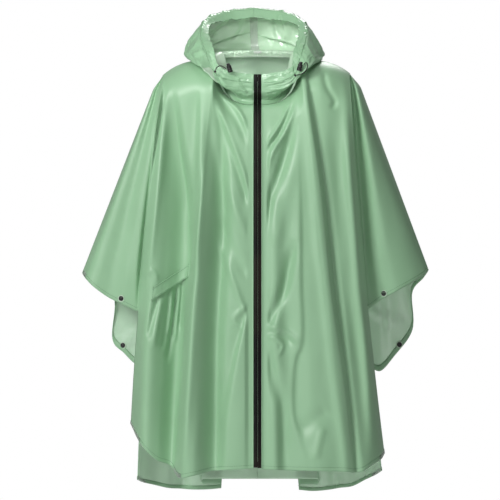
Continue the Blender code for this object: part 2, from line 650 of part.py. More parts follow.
def make_cord(name, route, material):
    """Free end of the drawcord along a smooth curve through its route."""
    count = (len(route) - 1) * 2
    points = [spline(route, k / 2) for k in range(count + 1)]
    curve = bpy.data.curves.new(name, "CURVE")
    curve.dimensions = "3D"
    curve.bevel_depth = CORD_DIAMETER / 2
    curve.bevel_resolution = 2
    curve.use_fill_caps = True
    curve.render_resolution_u = 0
    line = curve.splines.new("POLY")
    line.points.add(len(points) - 1)
    for node, point in zip(line.points, points):
        node.co = (*point, 1.0)
    curve.materials.append(material)
    piece = bpy.data.objects.new(name, curve)
    bpy.context.scene.collection.objects.link(piece)


def build():
    """Clear the scene and make every piece."""
    for old in list(bpy.data.objects):
        bpy.data.objects.remove(old)
    coated = finish("coated_cloth", SAGE, 0.38)
    tape = finish("seam_tape", PALE_SAGE, 0.30)
    zip_tape = finish("zip_tape", BLACK, 0.35)
    moulded = finish("moulded_black", BLACK, 0.45)
    cord = finish("drawcord", BLACK, 0.80)
    fronts = make_fronts(coated)
    back = make_back(coated)
    make_hood(coated, tape)
    make_zip(zip_tape, moulded)
    make_pocket(fronts["front_right"], coated)
    make_snaps(fronts, back, moulded)
    make_locks(moulded)
    for piece in bpy.data.objects:
        if piece.type == "CURVE":
            piece.data.materials[0] = cord


build()
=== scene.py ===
import math
from collections import namedtuple

import bmesh
import bpy
import numpy as np
from mathutils import Matrix, Vector, noise
from mathutils.bvhtree import BVHTree


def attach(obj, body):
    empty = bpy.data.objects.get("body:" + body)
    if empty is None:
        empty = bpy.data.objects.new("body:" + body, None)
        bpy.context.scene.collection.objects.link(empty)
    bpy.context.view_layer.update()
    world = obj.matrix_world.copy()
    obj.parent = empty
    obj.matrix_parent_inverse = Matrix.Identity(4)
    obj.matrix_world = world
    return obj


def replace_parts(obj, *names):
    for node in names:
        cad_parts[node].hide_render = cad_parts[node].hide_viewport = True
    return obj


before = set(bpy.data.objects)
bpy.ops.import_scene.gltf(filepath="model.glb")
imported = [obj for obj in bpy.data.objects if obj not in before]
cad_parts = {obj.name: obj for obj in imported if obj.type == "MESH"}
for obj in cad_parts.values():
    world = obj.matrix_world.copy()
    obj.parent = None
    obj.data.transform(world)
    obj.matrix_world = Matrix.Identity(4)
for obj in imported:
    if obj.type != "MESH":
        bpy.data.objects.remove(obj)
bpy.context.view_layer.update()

# ------------------------------------------------------------------ camera, light and backdrop
# A level view of the front from far enough away that the poncho looks flat on, under a large
# soft window of light from the upper left and weaker ones from the right, above and behind.

EYE = Vector((-0.018, -16.0, -0.432))
VIEW_WIDTH = 1.2
camera_data = bpy.data.cameras.new("camera")
camera_data.sensor_width = 36
camera_data.lens = camera_data.sensor_width * -EYE.y / VIEW_WIDTH
camera = bpy.data.objects.new("camera", camera_data)
camera.location = EYE
camera.rotation_euler = (math.pi / 2, 0, 0)
bpy.context.scene.collection.objects.link(camera)
bpy.context.scene.camera = camera
bpy.context.scene.view_settings.view_transform = "Standard"


def area_light(name, place, target, size, power):
    """Square soft light aimed at a target."""
    data = bpy.data.lights.new(name, "AREA")
    data.shape = "SQUARE"
    data.size = size
    data.energy = power
    light = bpy.data.objects.new(name, data)
    light.location = place
    light.rotation_euler = (Vector(target) - Vector(place)).to_track_quat("-Z", "Y").to_euler()
    bpy.context.scene.collection.objects.link(light)
    return light


area_light("window", (-2.8, -3.6, 1.6), (0, 0, -0.45), 1.3, 166)
area_light("fill", (0.9, -4.6, -0.3), (0, 0, -0.5), 1.6, 12)
area_light("top", (0.0, -1.2, 2.4), (0, 0, 0.0), 0.9, 14)
area_light("collar", (-0.25, -1.9, 0.42), (0, 0.1, 0.06), 0.25, 0.20).data.spread = math.radians(22)
area_light("behind", (0.7, 4.0, 3.0), (0, 0, -0.45), 1.8, 110)

# a narrow beam over the collar, for the glint on the glossy inside of the neck
beam_data = bpy.data.lights.new("beam", "SPOT")
beam_data.energy = 130
beam_data.spot_size = math.radians(2.4)
beam_data.spot_blend = 0.7
beam_data.shadow_soft_size = 0.02
beam = bpy.data.objects.new("beam", beam_data)
beam.location = (-0.25, -1.9, 0.45)
beam_way = Vector((-0.052, 0.100, 0.014)) - beam.location
beam.rotation_euler = beam_way.to_track_quat("-Z", "Y").to_euler()
bpy.context.scene.collection.objects.link(beam)

world = bpy.data.worlds.new("studio")
bpy.context.scene.world = world
world.use_nodes = True
world_nodes, world_links = world.node_tree.nodes, world.node_tree.links
world_nodes["Background"].inputs["Color"].default_value = (1.0, 1.0, 1.0, 1.0)
world_eye = world_nodes.new("ShaderNodeLightPath")
world_glow = world_nodes.new("ShaderNodeMapRange")
world_glow.inputs["To Min"].default_value = 0.12
world_glow.inputs["To Max"].default_value = 1.0
world_links.new(world_eye.outputs["Is Camera Ray"], world_glow.inputs["Value"])
world_links.new(world_glow.outputs["Result"], world_nodes["Background"].inputs["Strength"])


def make_object(name, mesh, *materials, smooth=False):
    """Object from a finished mesh, which is freed, with its materials in order."""
    data = bpy.data.meshes.new(name)
    mesh.to_mesh(data)
    mesh.free()
    if smooth:
        data.shade_smooth()
    for material in materials:
        data.materials.append(material)
    made = bpy.data.objects.new(name, data)
    bpy.context.scene.collection.objects.link(made)
    return made


def plain_material(name, colour, roughness):
    """Material of one colour and roughness, and its shader for what else it needs."""
    material = bpy.data.materials.new(name)
    material.use_nodes = True
    shader = material.node_tree.nodes["Principled BSDF"]
    shader.inputs["Base Color"].default_value = (*colour, 1)
    shader.inputs["Roughness"].default_value = roughness
    return material, shader


FLOOR_Z = -1.75
floor_mesh = bmesh.new()
bmesh.ops.create_circle(floor_mesh, cap_ends=True, segments=96, radius=14)
bmesh.ops.translate(floor_mesh, verts=floor_mesh.verts, vec=(0, 0, FLOOR_Z))
paper, paper_shader = plain_material("floor_paper", (0.90, 0.90, 0.90), 0.9)
paper_nodes, paper_links = paper.node_tree.nodes, paper.node_tree.links
paper_shader.inputs["Emission Color"].default_value = (1.0, 1.0, 1.0, 1.0)
paper_eye = paper_nodes.new("ShaderNodeLightPath")
paper_glow = paper_nodes.new("ShaderNodeMapRange")
paper_glow.inputs["To Min"].default_value = 0.05
paper_glow.inputs["To Max"].default_value = 0.75
paper_links.new(paper_eye.outputs["Is Camera Ray"], paper_glow.inputs["Value"])
paper_links.new(paper_glow.outputs["Result"], paper_shader.inputs["Emission Strength"])
floor = make_object("floor", floor_mesh, paper)

# ------------------------------------------------------------------ drawcord ends and knots
# Two free ends of one braided black cord, which runs inside the rim of the hood. Each end
# comes out of its cord lock, bends over under its own weight and stops in an overhand knot.

CORD_DIAMETER = 0.0026
KNOT_RADIUS = 0.0032
CordEnd = namedtuple("CordEnd", "name route")
CORD_ENDS = (
    CordEnd("right", ((-0.0748, -0.1215, 0.0000), (-0.0800, -0.1225, 0.0030),
                      (-0.0855, -0.1235, 0.0060), (-0.0920, -0.1240, 0.0060),
                      (-0.0975, -0.1240, 0.0020), (-0.1000, -0.1235, -0.0040))),
    CordEnd("left", ((0.1102, -0.1210, 0.0095), (0.1136, -0.1217, 0.0135),
                     (0.1174, -0.1225, 0.0130), (0.1188, -0.1230, 0.0060),
                     (0.1165, -0.1235, -0.0020), (0.1110, -0.1235, -0.0090),
                     (0.1030, -0.1230, -0.0135), (0.0930, -0.1225, -0.0155))),
)


def spline(points, place):
    """Point of the smooth curve through the points; place counts from 0 at the first one."""
    last = len(points) - 1
    start = min(int(place), last - 1)
    t = place - start
    here, there = points[start], points[start + 1]
    before = points[start - 1] if start > 0 else here * 2 - there
    after = points[start + 2] if start + 2 <= last else there * 2 - here
    return (here * 2 + (there - before) * t
            + (before * 2 - here * 5 + there * 4 - after) * t ** 2
            + (here * 3 - before - there * 3 + after) * t ** 3) * 0.5


cord_material = bpy.data.materials.new("braided_cord")
cord_material.use_nodes = True
cord_nodes = cord_material.node_tree.nodes
cord_links = cord_material.node_tree.links
cord_shader = cord_nodes["Principled BSDF"]
cord_shader.inputs["Roughness"].default_value = 0.75
cord_place = cord_nodes.new("ShaderNodeTexCoord")
cord_braid = cord_nodes.new("ShaderNodeTexWave")
cord_braid.inputs["Scale"].default_value = 420
cord_braid.inputs["Distortion"].default_value = 2.0
cord_tones = cord_nodes.new("ShaderNodeValToRGB")
cord_tones.color_ramp.elements[0].color = (0.006, 0.006, 0.006, 1)
cord_tones.color_ramp.elements[1].color = (0.030, 0.030, 0.028, 1)
cord_relief = cord_nodes.new("ShaderNodeBump")
cord_relief.inputs["Strength"].default_value = 0.5
cord_relief.inputs["Distance"].default_value = 0.0004
cord_links.new(cord_place.outputs["Object"], cord_braid.inputs["Vector"])
cord_links.new(cord_braid.outputs["Fac"], cord_tones.inputs["Fac"])
cord_links.new(cord_tones.outputs["Color"], cord_shader.inputs["Base Color"])
cord_links.new(cord_braid.outputs["Fac"], cord_relief.inputs["Height"])
cord_links.new(cord_relief.outputs["Normal"], cord_shader.inputs["Normal"])

for end in CORD_ENDS:
    route = [Vector(point) for point in end.route]
    run = [spline(route, k / 4) for k in range((len(route) - 1) * 4 + 1)]
    curve = bpy.data.curves.new(f"drawcord_{end.name}", "CURVE")
    curve.dimensions = "3D"
    curve.bevel_depth = CORD_DIAMETER / 2
    curve.bevel_resolution = 4
    curve.use_fill_caps = True
    line = curve.splines.new("POLY")
    line.points.add(len(run) - 1)
    for node, point in zip(line.points, run):
        node.co = (*point, 1.0)
    curve.materials.append(cord_material)
    cord = bpy.data.objects.new(f"drawcord_{end.name}", curve)
    bpy.context.scene.collection.objects.link(cord)

    # the overhand knot: a fat ring of cord around the end, round a small core
    lead = (run[-1] - run[-2]).normalized()
    centre = run[-1] + lead * KNOT_RADIUS
    knot_mesh = bmesh.new()
    ring = bmesh.ops.create_circle(knot_mesh, segments=12, radius=CORD_DIAMETER * 0.46)
    bmesh.ops.rotate(knot_mesh, verts=ring["verts"], cent=(0, 0, 0),
                     matrix=Vector((0, 1, 0)).to_track_quat("Z", "Y").to_matrix())
    bmesh.ops.translate(knot_mesh, verts=ring["verts"], vec=(KNOT_RADIUS * 0.62, 0, 0))
    bmesh.ops.spin(knot_mesh, geom=list(knot_mesh.edges), axis=(0, 0, 1), cent=(0, 0, 0),
                   angle=math.tau, steps=20, use_merge=True, dvec=(0, 0, 0))
    bmesh.ops.remove_doubles(knot_mesh, verts=knot_mesh.verts, dist=0.00001)
    bmesh.ops.scale(knot_mesh, verts=knot_mesh.verts, vec=(1.0, 1.0, 1.7))
    core = bmesh.ops.create_uvsphere(knot_mesh, u_segments=16, v_segments=10,
                                     radius=KNOT_RADIUS * 0.72)
    bmesh.ops.scale(knot_mesh, verts=core["verts"], vec=(0.8, 0.8, 1.3))
    bmesh.ops.recalc_face_normals(knot_mesh, faces=knot_mesh.faces)
    bmesh.ops.rotate(knot_mesh, verts=knot_mesh.verts, cent=(0, 0, 0),
                     matrix=lead.to_track_quat("Z", "Y").to_matrix())
    bmesh.ops.translate(knot_mesh, verts=knot_mesh.verts, vec=centre)
    knot = make_object(f"overhand_knot_{end.name}", knot_mesh, cord_material, smooth=True)

    length = sum((b - a).length for a, b in zip(run, run[1:]))
    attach(cord, "garment")
    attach(knot, "garment")
    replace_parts(cord, f"cord_{end.name}")
    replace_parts(knot, f"knot_{end.name}")
    tuple(run[0])

# ------------------------------------------------------------------ front panels
# Two panels of thin polyester with a glossy waterproof coating on the face, each cut in one
# with the front of its sleeve. They hang from the shoulder seam in long soft folds.

CLOTH = 0.0009
RIGHT, LEFT = -1, 1
FRONT, BACK = -1, 1
NECK_HALF = 0.100
NECK_FRONT_OUT = 0.085
NECK_BACK_OUT = 0.075
NECK_FRONT_Z = -0.085
NECK_SIDE_Z = 0.025
NECK_BACK_Z = 0.035
NECK_SCOOP = 1.4
SHOULDER_RUN = 0.127
SHOULDER_FALL = 0.037
SLEEVE_TOP = (0.240, -0.020)
ROLL_DROP = 0.085
RIDGE_START = 12           # how soon the sleeve's ridge leaves the end of the shoulder
CHEST_OUT = 0.118
BLADE_OUT = 0.122
GIRTH_HALF = 0.310
SEAM_GAP = 0.0003
FRONT_EDGE = 0.0095
PLACKET = 0.020

# A fold is one column of a body panel. x is its distance from the centre at the top edge, half
# way down and at the hem, out is its distance from the plane of the shoulder ridge.
Fold = namedtuple("Fold", "name x_top x_mid x_hem out_mid out_hem z_hem")

FRONT_RIGHT_FOLDS = (
    Fold("zip edge",      FRONT_EDGE, FRONT_EDGE, FRONT_EDGE, 0.140, 0.160, -0.951),
    Fold("placket",       PLACKET, PLACKET, PLACKET, 0.1405, 0.1605, -0.952),
    Fold("zip crown",     0.042, 0.047, 0.050, 0.141, 0.161, -0.954),
    Fold("breast trough", 0.068, 0.096, 0.106, 0.134, 0.152, -0.958),
    Fold("breast crown",  0.089, 0.132, 0.152, 0.145, 0.172, -0.968),
    Fold("main fold",     0.113, 0.160, 0.187, 0.130, 0.150, -0.973),
    Fold("fold groove",   0.150, 0.187, 0.208, 0.106, 0.118, -0.946),
    Fold("side slope",    0.188, 0.217, 0.242, 0.104, 0.118, -0.932),
    Fold("side ridge",    0.212, 0.250, 0.278, 0.108, 0.104, -0.895),
    Fold("side edge",     0.226, 0.273, 0.304, 0.080, 0.020, -0.848),
)
FRONT_LEFT_FOLDS = (
    Fold("zip edge",      FRONT_EDGE, FRONT_EDGE, FRONT_EDGE, 0.140, 0.160, -0.953),
    Fold("placket",       PLACKET, PLACKET, PLACKET, 0.1405, 0.1605, -0.954),
    Fold("zip crown",     0.038, 0.042, 0.046, 0.147, 0.170, -0.955),
    Fold("breast trough", 0.062, 0.070, 0.080, 0.138, 0.158, -0.956),
    Fold("breast crown",  0.084, 0.116, 0.140, 0.146, 0.172, -0.957),
    Fold("flank crown",   0.100, 0.158, 0.206, 0.135, 0.157, -0.959),
    Fold("main fold",     0.118, 0.177, 0.230, 0.127, 0.146, -0.962),
    Fold("side crown",    0.152, 0.198, 0.252, 0.128, 0.146, -0.958),
    Fold("side trough",   0.186, 0.222, 0.274, 0.110, 0.120, -0.944),
    Fold("side ridge",    0.206, 0.242, 0.294, 0.102, 0.090, -0.932),
    Fold("side edge",     0.220, 0.254, 0.304, 0.082, 0.044, -0.918),
)
BACK_RIGHT_FOLDS = (
    Fold("pleat edge",    0.012, 0.048, 0.088, 0.158, 0.182, -1.010),
    Fold("pleat crown",   0.045, 0.085, 0.118, 0.160, 0.188, -1.013),
    Fold("blade trough",  0.082, 0.124, 0.160, 0.152, 0.178, -1.013),
    Fold("blade crown",   0.118, 0.160, 0.188, 0.154, 0.180, -1.011),
    Fold("side trough",   0.160, 0.196, 0.216, 0.122, 0.136, -1.008),
    Fold("side crown",    0.198, 0.232, 0.252, 0.116, 0.116, -0.999),
    Fold("side ridge",    0.216, 0.254, 0.276, 0.096, 0.076, -0.992),
    Fold("side edge",     0.226, 0.266, 0.289, 0.072, 0.028, -0.984),
)
BACK_LEFT_FOLDS = (
    Fold("pleat edge",    0.012, 0.054, 0.101, 0.158, 0.182, -1.014),
    Fold("pleat crown",   0.045, 0.090, 0.134, 0.161, 0.188, -1.017),
    Fold("blade trough",  0.082, 0.128, 0.170, 0.152, 0.177, -1.014),
    Fold("blade crown",   0.120, 0.164, 0.200, 0.153, 0.176, -1.009),
    Fold("side trough",   0.160, 0.198, 0.230, 0.118, 0.126, -1.003),
    Fold("side crown",    0.196, 0.230, 0.262, 0.114, 0.108, -0.986),
    Fold("side ridge",    0.212, 0.246, 0.284, 0.094, 0.070, -0.974),
    Fold("side edge",     0.220, 0.256, 0.299, 0.072, 0.024, -0.962),
)

# A wing is one column of a sleeve. share runs from the body's side fold to the sleeve's ridge,
# and the cuff is where the column ends.
Wing = namedtuple("Wing", "name share x_cuff z_cuff out_mid out_cuff")

FRONT_RIGHT_WINGS = (
    Wing("fold step",    0.06, 0.292, -0.577, 0.070, 0.060),
    Wing("under slope",  0.26, 0.320, -0.563, 0.061, 0.056),
    Wing("arm hollow",   0.52, 0.356, -0.546, 0.049, 0.046),
    Wing("arm slope",    0.78, 0.390, -0.522, 0.053, 0.048),
    Wing("ridge roll",   0.93, 0.410, -0.502, 0.045, 0.036),
    Wing("ridge",        1.00, 0.421, -0.487, 0.000, 0.000),
)
FRONT_LEFT_WINGS = (
    Wing("fold step",    0.06, 0.266, -0.573, 0.058, 0.046),
    Wing("under trough", 0.26, 0.296, -0.551, 0.052, 0.048),
    Wing("arm crown",    0.52, 0.332, -0.531, 0.064, 0.062),
    Wing("arm slope",    0.78, 0.370, -0.510, 0.054, 0.048),
    Wing("ridge roll",   0.93, 0.398, -0.493, 0.032, 0.024),
    Wing("ridge",        1.00, 0.411, -0.480, 0.000, 0.000),
)
BACK_RIGHT_WINGS = (
    Wing("fold step",    0.06, 0.298, -0.704, 0.064, 0.068),
    Wing("under trough", 0.26, 0.322, -0.680, 0.058, 0.072),
    Wing("corner",       0.50, 0.350, -0.646, 0.068, 0.080),
    Wing("arm slope",    0.76, 0.345, -0.548, 0.056, 0.060),
    Wing("ridge roll",   0.92, 0.398, -0.505, 0.034, 0.030),
    Wing("ridge",        1.00, 0.421, -0.487, 0.000, 0.000),
)
BACK_LEFT_WINGS = (
    Wing("fold step",    0.06, 0.298, -0.723, 0.064, 0.068),
    Wing("under trough", 0.26, 0.328, -0.690, 0.058, 0.072),
    Wing("corner",       0.56, 0.374, -0.624, 0.068, 0.080),
    Wing("arm slope",    0.78, 0.372, -0.536, 0.056, 0.060),
    Wing("ridge roll",   0.92, 0.398, -0.500, 0.034, 0.030),
    Wing("ridge",        1.00, 0.411, -0.480, 0.000, 0.000),
)
Panel = namedtuple("Panel", "side facing folds wings underarm")
FRONT_RIGHT = Panel(RIGHT, FRONT, FRONT_RIGHT_FOLDS, FRONT_RIGHT_WINGS, 0.675)
FRONT_LEFT = Panel(LEFT, FRONT, FRONT_LEFT_FOLDS, FRONT_LEFT_WINGS, 0.618)
BACK_RIGHT = Panel(RIGHT, BACK, BACK_RIGHT_FOLDS, BACK_RIGHT_WINGS, 0.722)
BACK_LEFT = Panel(LEFT, BACK, BACK_LEFT_FOLDS, BACK_LEFT_WINGS, 0.744)


def bend(top, middle, bottom, share):
    """Value of the parabola through three values at shares 0, 1/2 and 1."""
    return (top * (1 - share) * (1 - 2 * share) + middle * 4 * share * (1 - share)
            + bottom * share * (2 * share - 1))


def ease(value):
    """Smooth step from 0 to 1."""
    value = min(max(value, 0.0), 1.0)
    return value * value * (3 - 2 * value)


def roll(drop):
    """How far cloth has turned from lying over the shoulder to hanging, 0 to 1."""
    left = 1 - min(max(drop / ROLL_DROP, 0.0), 1.0)
    return math.sqrt(1 - left * left)


def neck_point(turn):
    """Neckline at an angle from the centre front (0) to the centre back (180)."""
    angle = math.radians(turn)
    across, ahead = math.sin(angle), math.cos(angle)
    if ahead > 0:
        rise = (1 - ahead) ** NECK_SCOOP
        z = NECK_FRONT_Z + (NECK_SIDE_Z - NECK_FRONT_Z) * rise
        return Vector((NECK_HALF * across, -NECK_FRONT_OUT * ahead, z))
    z = NECK_SIDE_Z - (NECK_BACK_Z - NECK_SIDE_Z) * ahead
    return Vector((NECK_HALF * across, -NECK_BACK_OUT * ahead, z))


def top_edge(x, facing):
    """Top edge of a panel at distance x: the neckline, then the ridge of the shoulder."""
    if x < NECK_HALF:
        turn = math.degrees(math.asin(x / NECK_HALF))
        return neck_point(turn if facing == FRONT else 180 - turn)
    fall = SHOULDER_FALL * ((x - NECK_HALF) / SHOULDER_RUN) ** 3
    return Vector((x, 0.0, NECK_SIDE_Z - fall))


def body_point(panel, fold, share):
    """Point of one fold of a panel; share runs from its top edge to its hem."""
    top = top_edge(fold.x_top, panel.facing)
    z = top.z + (fold.z_hem - top.z) * share
    depth = CHEST_OUT if panel.facing == FRONT else BLADE_OUT
    chest = depth * math.sqrt(1 - (fold.x_top / GIRTH_HALF) ** 2)
    out = bend(chest, fold.out_mid, fold.out_hem, share) * panel.facing
    y = top.y + (out - top.y) * roll(top.z - z)
    seam = panel.facing * SEAM_GAP / 2 if fold.x_top >= NECK_HALF else 0.0
    x = bend(fold.x_top, fold.x_mid, fold.x_hem, share)
    return Vector((panel.side * x, y + seam, z))


def wing_point(panel, wing, share):
    """Point of one column of a sleeve, between the body's side fold and the ridge."""
    side_fold = panel.folds[-1]
    inner = body_point(panel, side_fold, share)
    shoulder = top_edge(side_fold.x_top, panel.facing)
    done = share / panel.underarm
    tip = panel.wings[-1]
    ridge_z = shoulder.z + (tip.z_cuff - shoulder.z) * done
    slope = (tip.x_cuff - SLEEVE_TOP[0]) / (tip.z_cuff - SLEEVE_TOP[1])
    ridge_x = SLEEVE_TOP[0] + slope * (ridge_z - SLEEVE_TOP[1])
    rounding = math.sin(min(done * RIDGE_START, 1) * math.pi / 2)
    ridge_x = shoulder.x + (ridge_x - shoulder.x) * rounding
    x = abs(inner.x) + (ridge_x - abs(inner.x)) * wing.share
    z = inner.z + (ridge_z - inner.z) * wing.share
    underarm = body_point(panel, side_fold, panel.underarm)
    chord_x = abs(underarm.x) + (tip.x_cuff - abs(underarm.x)) * wing.share
    chord_z = underarm.z + (tip.z_cuff - underarm.z) * wing.share
    x += (wing.x_cuff - chord_x) * done ** 2
    z += (wing.z_cuff - chord_z) * done ** 2
    out = wing.out_mid + (wing.out_cuff - wing.out_mid) * done ** 2
    y = panel.facing * (out * roll(shoulder.z - z) + SEAM_GAP / 2)
    return Vector((panel.side * x, y, z))


# A crease is pressed along a way down the cloth. A ridge stands out and a trough sinks in, each
# with its own width towards the wearer's right and left. An edge stands out on the right and
# drops sharply to the left of its way (the other way about when its height is negative), and
# the two widths say how far it takes to die out.
Crease = namedtuple("Crease", "name shape right left height way")
EDGE_SOFT = 0.0045
WAY_STEPS = 5


def crease_lift(x, z, crease):
    """How far one crease moves the cloth outwards, for whole rows of places at once."""
    route = [Vector(point) for point in crease.way]
    steps = (len(route) - 1) * WAY_STEPS
    run = [spline(route, k / WAY_STEPS) for k in range(steps + 1)]
    nearest = np.full(len(x), 9.0)
    aside = np.zeros(len(x))
    along = np.zeros(len(x))
    for k, (start, stop) in enumerate(zip(run, run[1:])):
        step_x, step_z = stop.x - start.x, stop.y - start.y
        length = math.hypot(step_x, step_z)
        off_x, off_z = x - start.x, z - start.y
        part = (off_x * step_x + off_z * step_z) / length ** 2
        held = np.clip(part, 0, 1)
        gap = np.hypot(off_x - held * step_x, off_z - held * step_z)
        closer = gap < nearest
        nearest = np.where(closer, gap, nearest)
        side = np.sign(step_x * off_z - step_z * off_x)
        aside = np.where(closer, side * gap, aside)
        along = np.where(closer, (k + held) / steps, along)
    fade = np.clip(along / 0.22, 0, 1) * np.clip((1 - along) / 0.22, 0, 1)
    fade = fade * fade * (3 - 2 * fade)
    width = np.where(aside < 0, crease.right, crease.left)
    u = aside / width
    if crease.shape == "edge":
        return -crease.height * fade * np.tanh(aside / EDGE_SOFT) * np.exp(-np.abs(u))
    return crease.height * fade * np.exp(-u * u) * (1 if crease.shape == "ridge" else -1)


LIP_X = 0.0108             # the folded edge of the cloth along the zip stands up a little
LIP_HALF = 0.0016
LIP_HEIGHT = 0.0014


def press_creases(verts, panel, creases, seed):
    """Move the vertices of a panel out and in along its creases, less near its seams."""
    x = np.array([vert.co.x for vert in verts])
    y = np.array([vert.co.y for vert in verts])
    z = np.array([vert.co.z for vert in verts])
    lift = np.zeros(len(x))
    for crease in creases:
        lift += crease_lift(x, z, crease)
    lift += [0.0016 * noise.noise(Vector((a * 13, seed, b * 5)))
             + 0.0008 * noise.noise(Vector((a * 40, seed, b * 14))) for a, b in zip(x, z)]
    neck_out = NECK_FRONT_OUT if panel.facing == FRONT else NECK_BACK_OUT
    collar = np.clip(((x / NECK_HALF) ** 2 + (y / neck_out) ** 2 - 1) / 0.35, 0, 1)
    seam = np.clip((panel.facing * y - 0.003) / 0.026, 0, 1) * collar
    if panel.facing == FRONT:
        seam *= np.clip((np.abs(x) - PLACKET) / 0.012, 0, 1)
    lift *= seam * seam * (3 - 2 * seam)
    if panel.facing == FRONT:
        lift += LIP_HEIGHT * np.exp(-((np.abs(x) - LIP_X) / LIP_HALF) ** 2)
    for vert, move in zip(verts, lift):
        vert.co.y += panel.facing * move


def add_patch(mesh, columns, rows, place):
    """Grid moved onto the cloth: place takes the shares across and down and gives a point."""
    made = bmesh.ops.create_grid(mesh, x_segments=columns, y_segments=rows, size=0.5)
    for vert in made["verts"]:
        across = round((vert.co.x + 0.5) * columns) / columns
        down = round((0.5 - vert.co.y) * rows) / rows
        vert.co = place(across, down)
    return made["verts"]


# How finely a panel's cloth is laid: columns between two folds, rows above and below the
# underarm, and columns of the sleeve.
Weave = namedtuple("Weave", "fold upper lower sleeve")
FRONT_WEAVE = Weave(12, 170, 80, 48)
BACK_WEAVE = Weave(8, 120, 52, 34)


def upper_share(panel, down):
    """Rows lie closer together where the cloth turns over the shoulder."""
    return panel.underarm * down * (0.4 + 0.6 * down)


def fold_at(panel, across):
    """The fold, or the cloth between two folds, at a share of the way to the side."""
    values = [Vector(fold[1:]) for fold in panel.folds]
    return Fold("between", *spline(values, across * (len(values) - 1)))


HEM_WIDTH = 0.011
HEM_TUCK = 0.0020


def sew_panel(mesh, panel, weave, creases, seed):
    """Body and sleeve of one panel, merged along the side fold and pressed with creases."""
    columns = (len(panel.folds) - 1) * weave.fold
    folds = {k: fold_at(panel, k / columns) for k in range(columns + 1)}

    def body_upper(across, down):
        return body_point(panel, folds[round(across * columns)], upper_share(panel, down))

    def body_lower(across, down):
        share = panel.underarm + (1 - panel.underarm) * down
        return body_point(panel, folds[round(across * columns)], share)

    def sleeve(across, down):
        share = upper_share(panel, down)
        inner = body_point(panel, panel.folds[-1], share)
        line = [inner] + [wing_point(panel, wing, share) for wing in panel.wings]
        return spline(line, across * (len(line) - 1))

    faces = set(mesh.faces)
    verts = list(add_patch(mesh, columns, weave.upper, body_upper))
    verts += add_patch(mesh, columns, weave.lower, body_lower)
    verts += add_patch(mesh, weave.sleeve, weave.upper, sleeve)

    # the hem and the cuff, turned up inside and stitched down
    def hem(across, down):
        point = body_lower(across, 1 - down * HEM_WIDTH / 0.35)
        return Vector((point.x, point.y - panel.facing * HEM_TUCK, point.z))

    def cuff(across, down):
        point = sleeve(across * 0.97, 1 - down * HEM_WIDTH / 0.85)
        return Vector((point.x, point.y - panel.facing * HEM_TUCK, point.z))

    verts += add_patch(mesh, columns, 3, hem)
    verts += add_patch(mesh, weave.sleeve, 3, cuff)
    press_creases(verts, panel, creases, seed)
    if panel.side * panel.facing > 0:
        bmesh.ops.reverse_faces(mesh, faces=[face for face in mesh.faces if face not in faces])


# The waterproof coating: fine crinkles, a slow change of tone, and a gloss that changes with
# them. Every cloth piece shares it, each with its own values.
coating = bpy.data.node_groups.new("coating", "ShaderNodeTree")
coating.interface.new_socket("Tone", in_out="INPUT", socket_type="NodeSocketColor")
coating.interface.new_socket("Shade", in_out="INPUT", socket_type="NodeSocketColor")
coating.interface.new_socket("Gloss", in_out="INPUT", socket_type="NodeSocketFloat")
coating.interface.new_socket("Crinkle", in_out="INPUT", socket_type="NodeSocketFloat")
coating.interface.new_socket("Color", in_out="OUTPUT", socket_type="NodeSocketColor")
coating.interface.new_socket("Roughness", in_out="OUTPUT", socket_type="NodeSocketFloat")
coating.interface.new_socket("Normal", in_out="OUTPUT", socket_type="NodeSocketVector")
c_nodes, c_links = coating.nodes, coating.links
c_in, c_out = c_nodes.new("NodeGroupInput"), c_nodes.new("NodeGroupOutput")
c_place = c_nodes.new("ShaderNodeTexCoord")
c_stretch = c_nodes.new("ShaderNodeMapping")
c_stretch.inputs["Scale"].default_value = (1.0, 1.0, 0.35)
c_soft = c_nodes.new("ShaderNodeTexNoise")
c_soft.inputs["Scale"].default_value = 16
c_soft.inputs["Detail"].default_value = 3
c_fine = c_nodes.new("ShaderNodeTexNoise")
c_fine.noise_type = "RIDGED_MULTIFRACTAL"
c_fine.inputs["Scale"].default_value = 26
c_fine.inputs["Detail"].default_value = 3
c_weave = c_nodes.new("ShaderNodeTexNoise")
c_weave.inputs["Scale"].default_value = 1500
c_tone = c_nodes.new("ShaderNodeMix")
c_tone.data_type = "RGBA"
c_rough = c_nodes.new("ShaderNodeMapRange")
c_rough.inputs["To Min"].default_value = -0.05
c_rough.inputs["To Max"].default_value = 0.07
c_sum = c_nodes.new("ShaderNodeMath")
c_sum.operation = "ADD"
c_height = c_nodes.new("ShaderNodeMath")
c_height.operation = "MULTIPLY_ADD"
c_height.inputs[1].default_value = 0.35
c_bump = c_nodes.new("ShaderNodeBump")
c_bump.inputs["Distance"].default_value = 0.0022
c_weave_bump = c_nodes.new("ShaderNodeBump")
c_weave_bump.inputs["Strength"].default_value = 0.08
c_weave_bump.inputs["Distance"].default_value = 0.0002
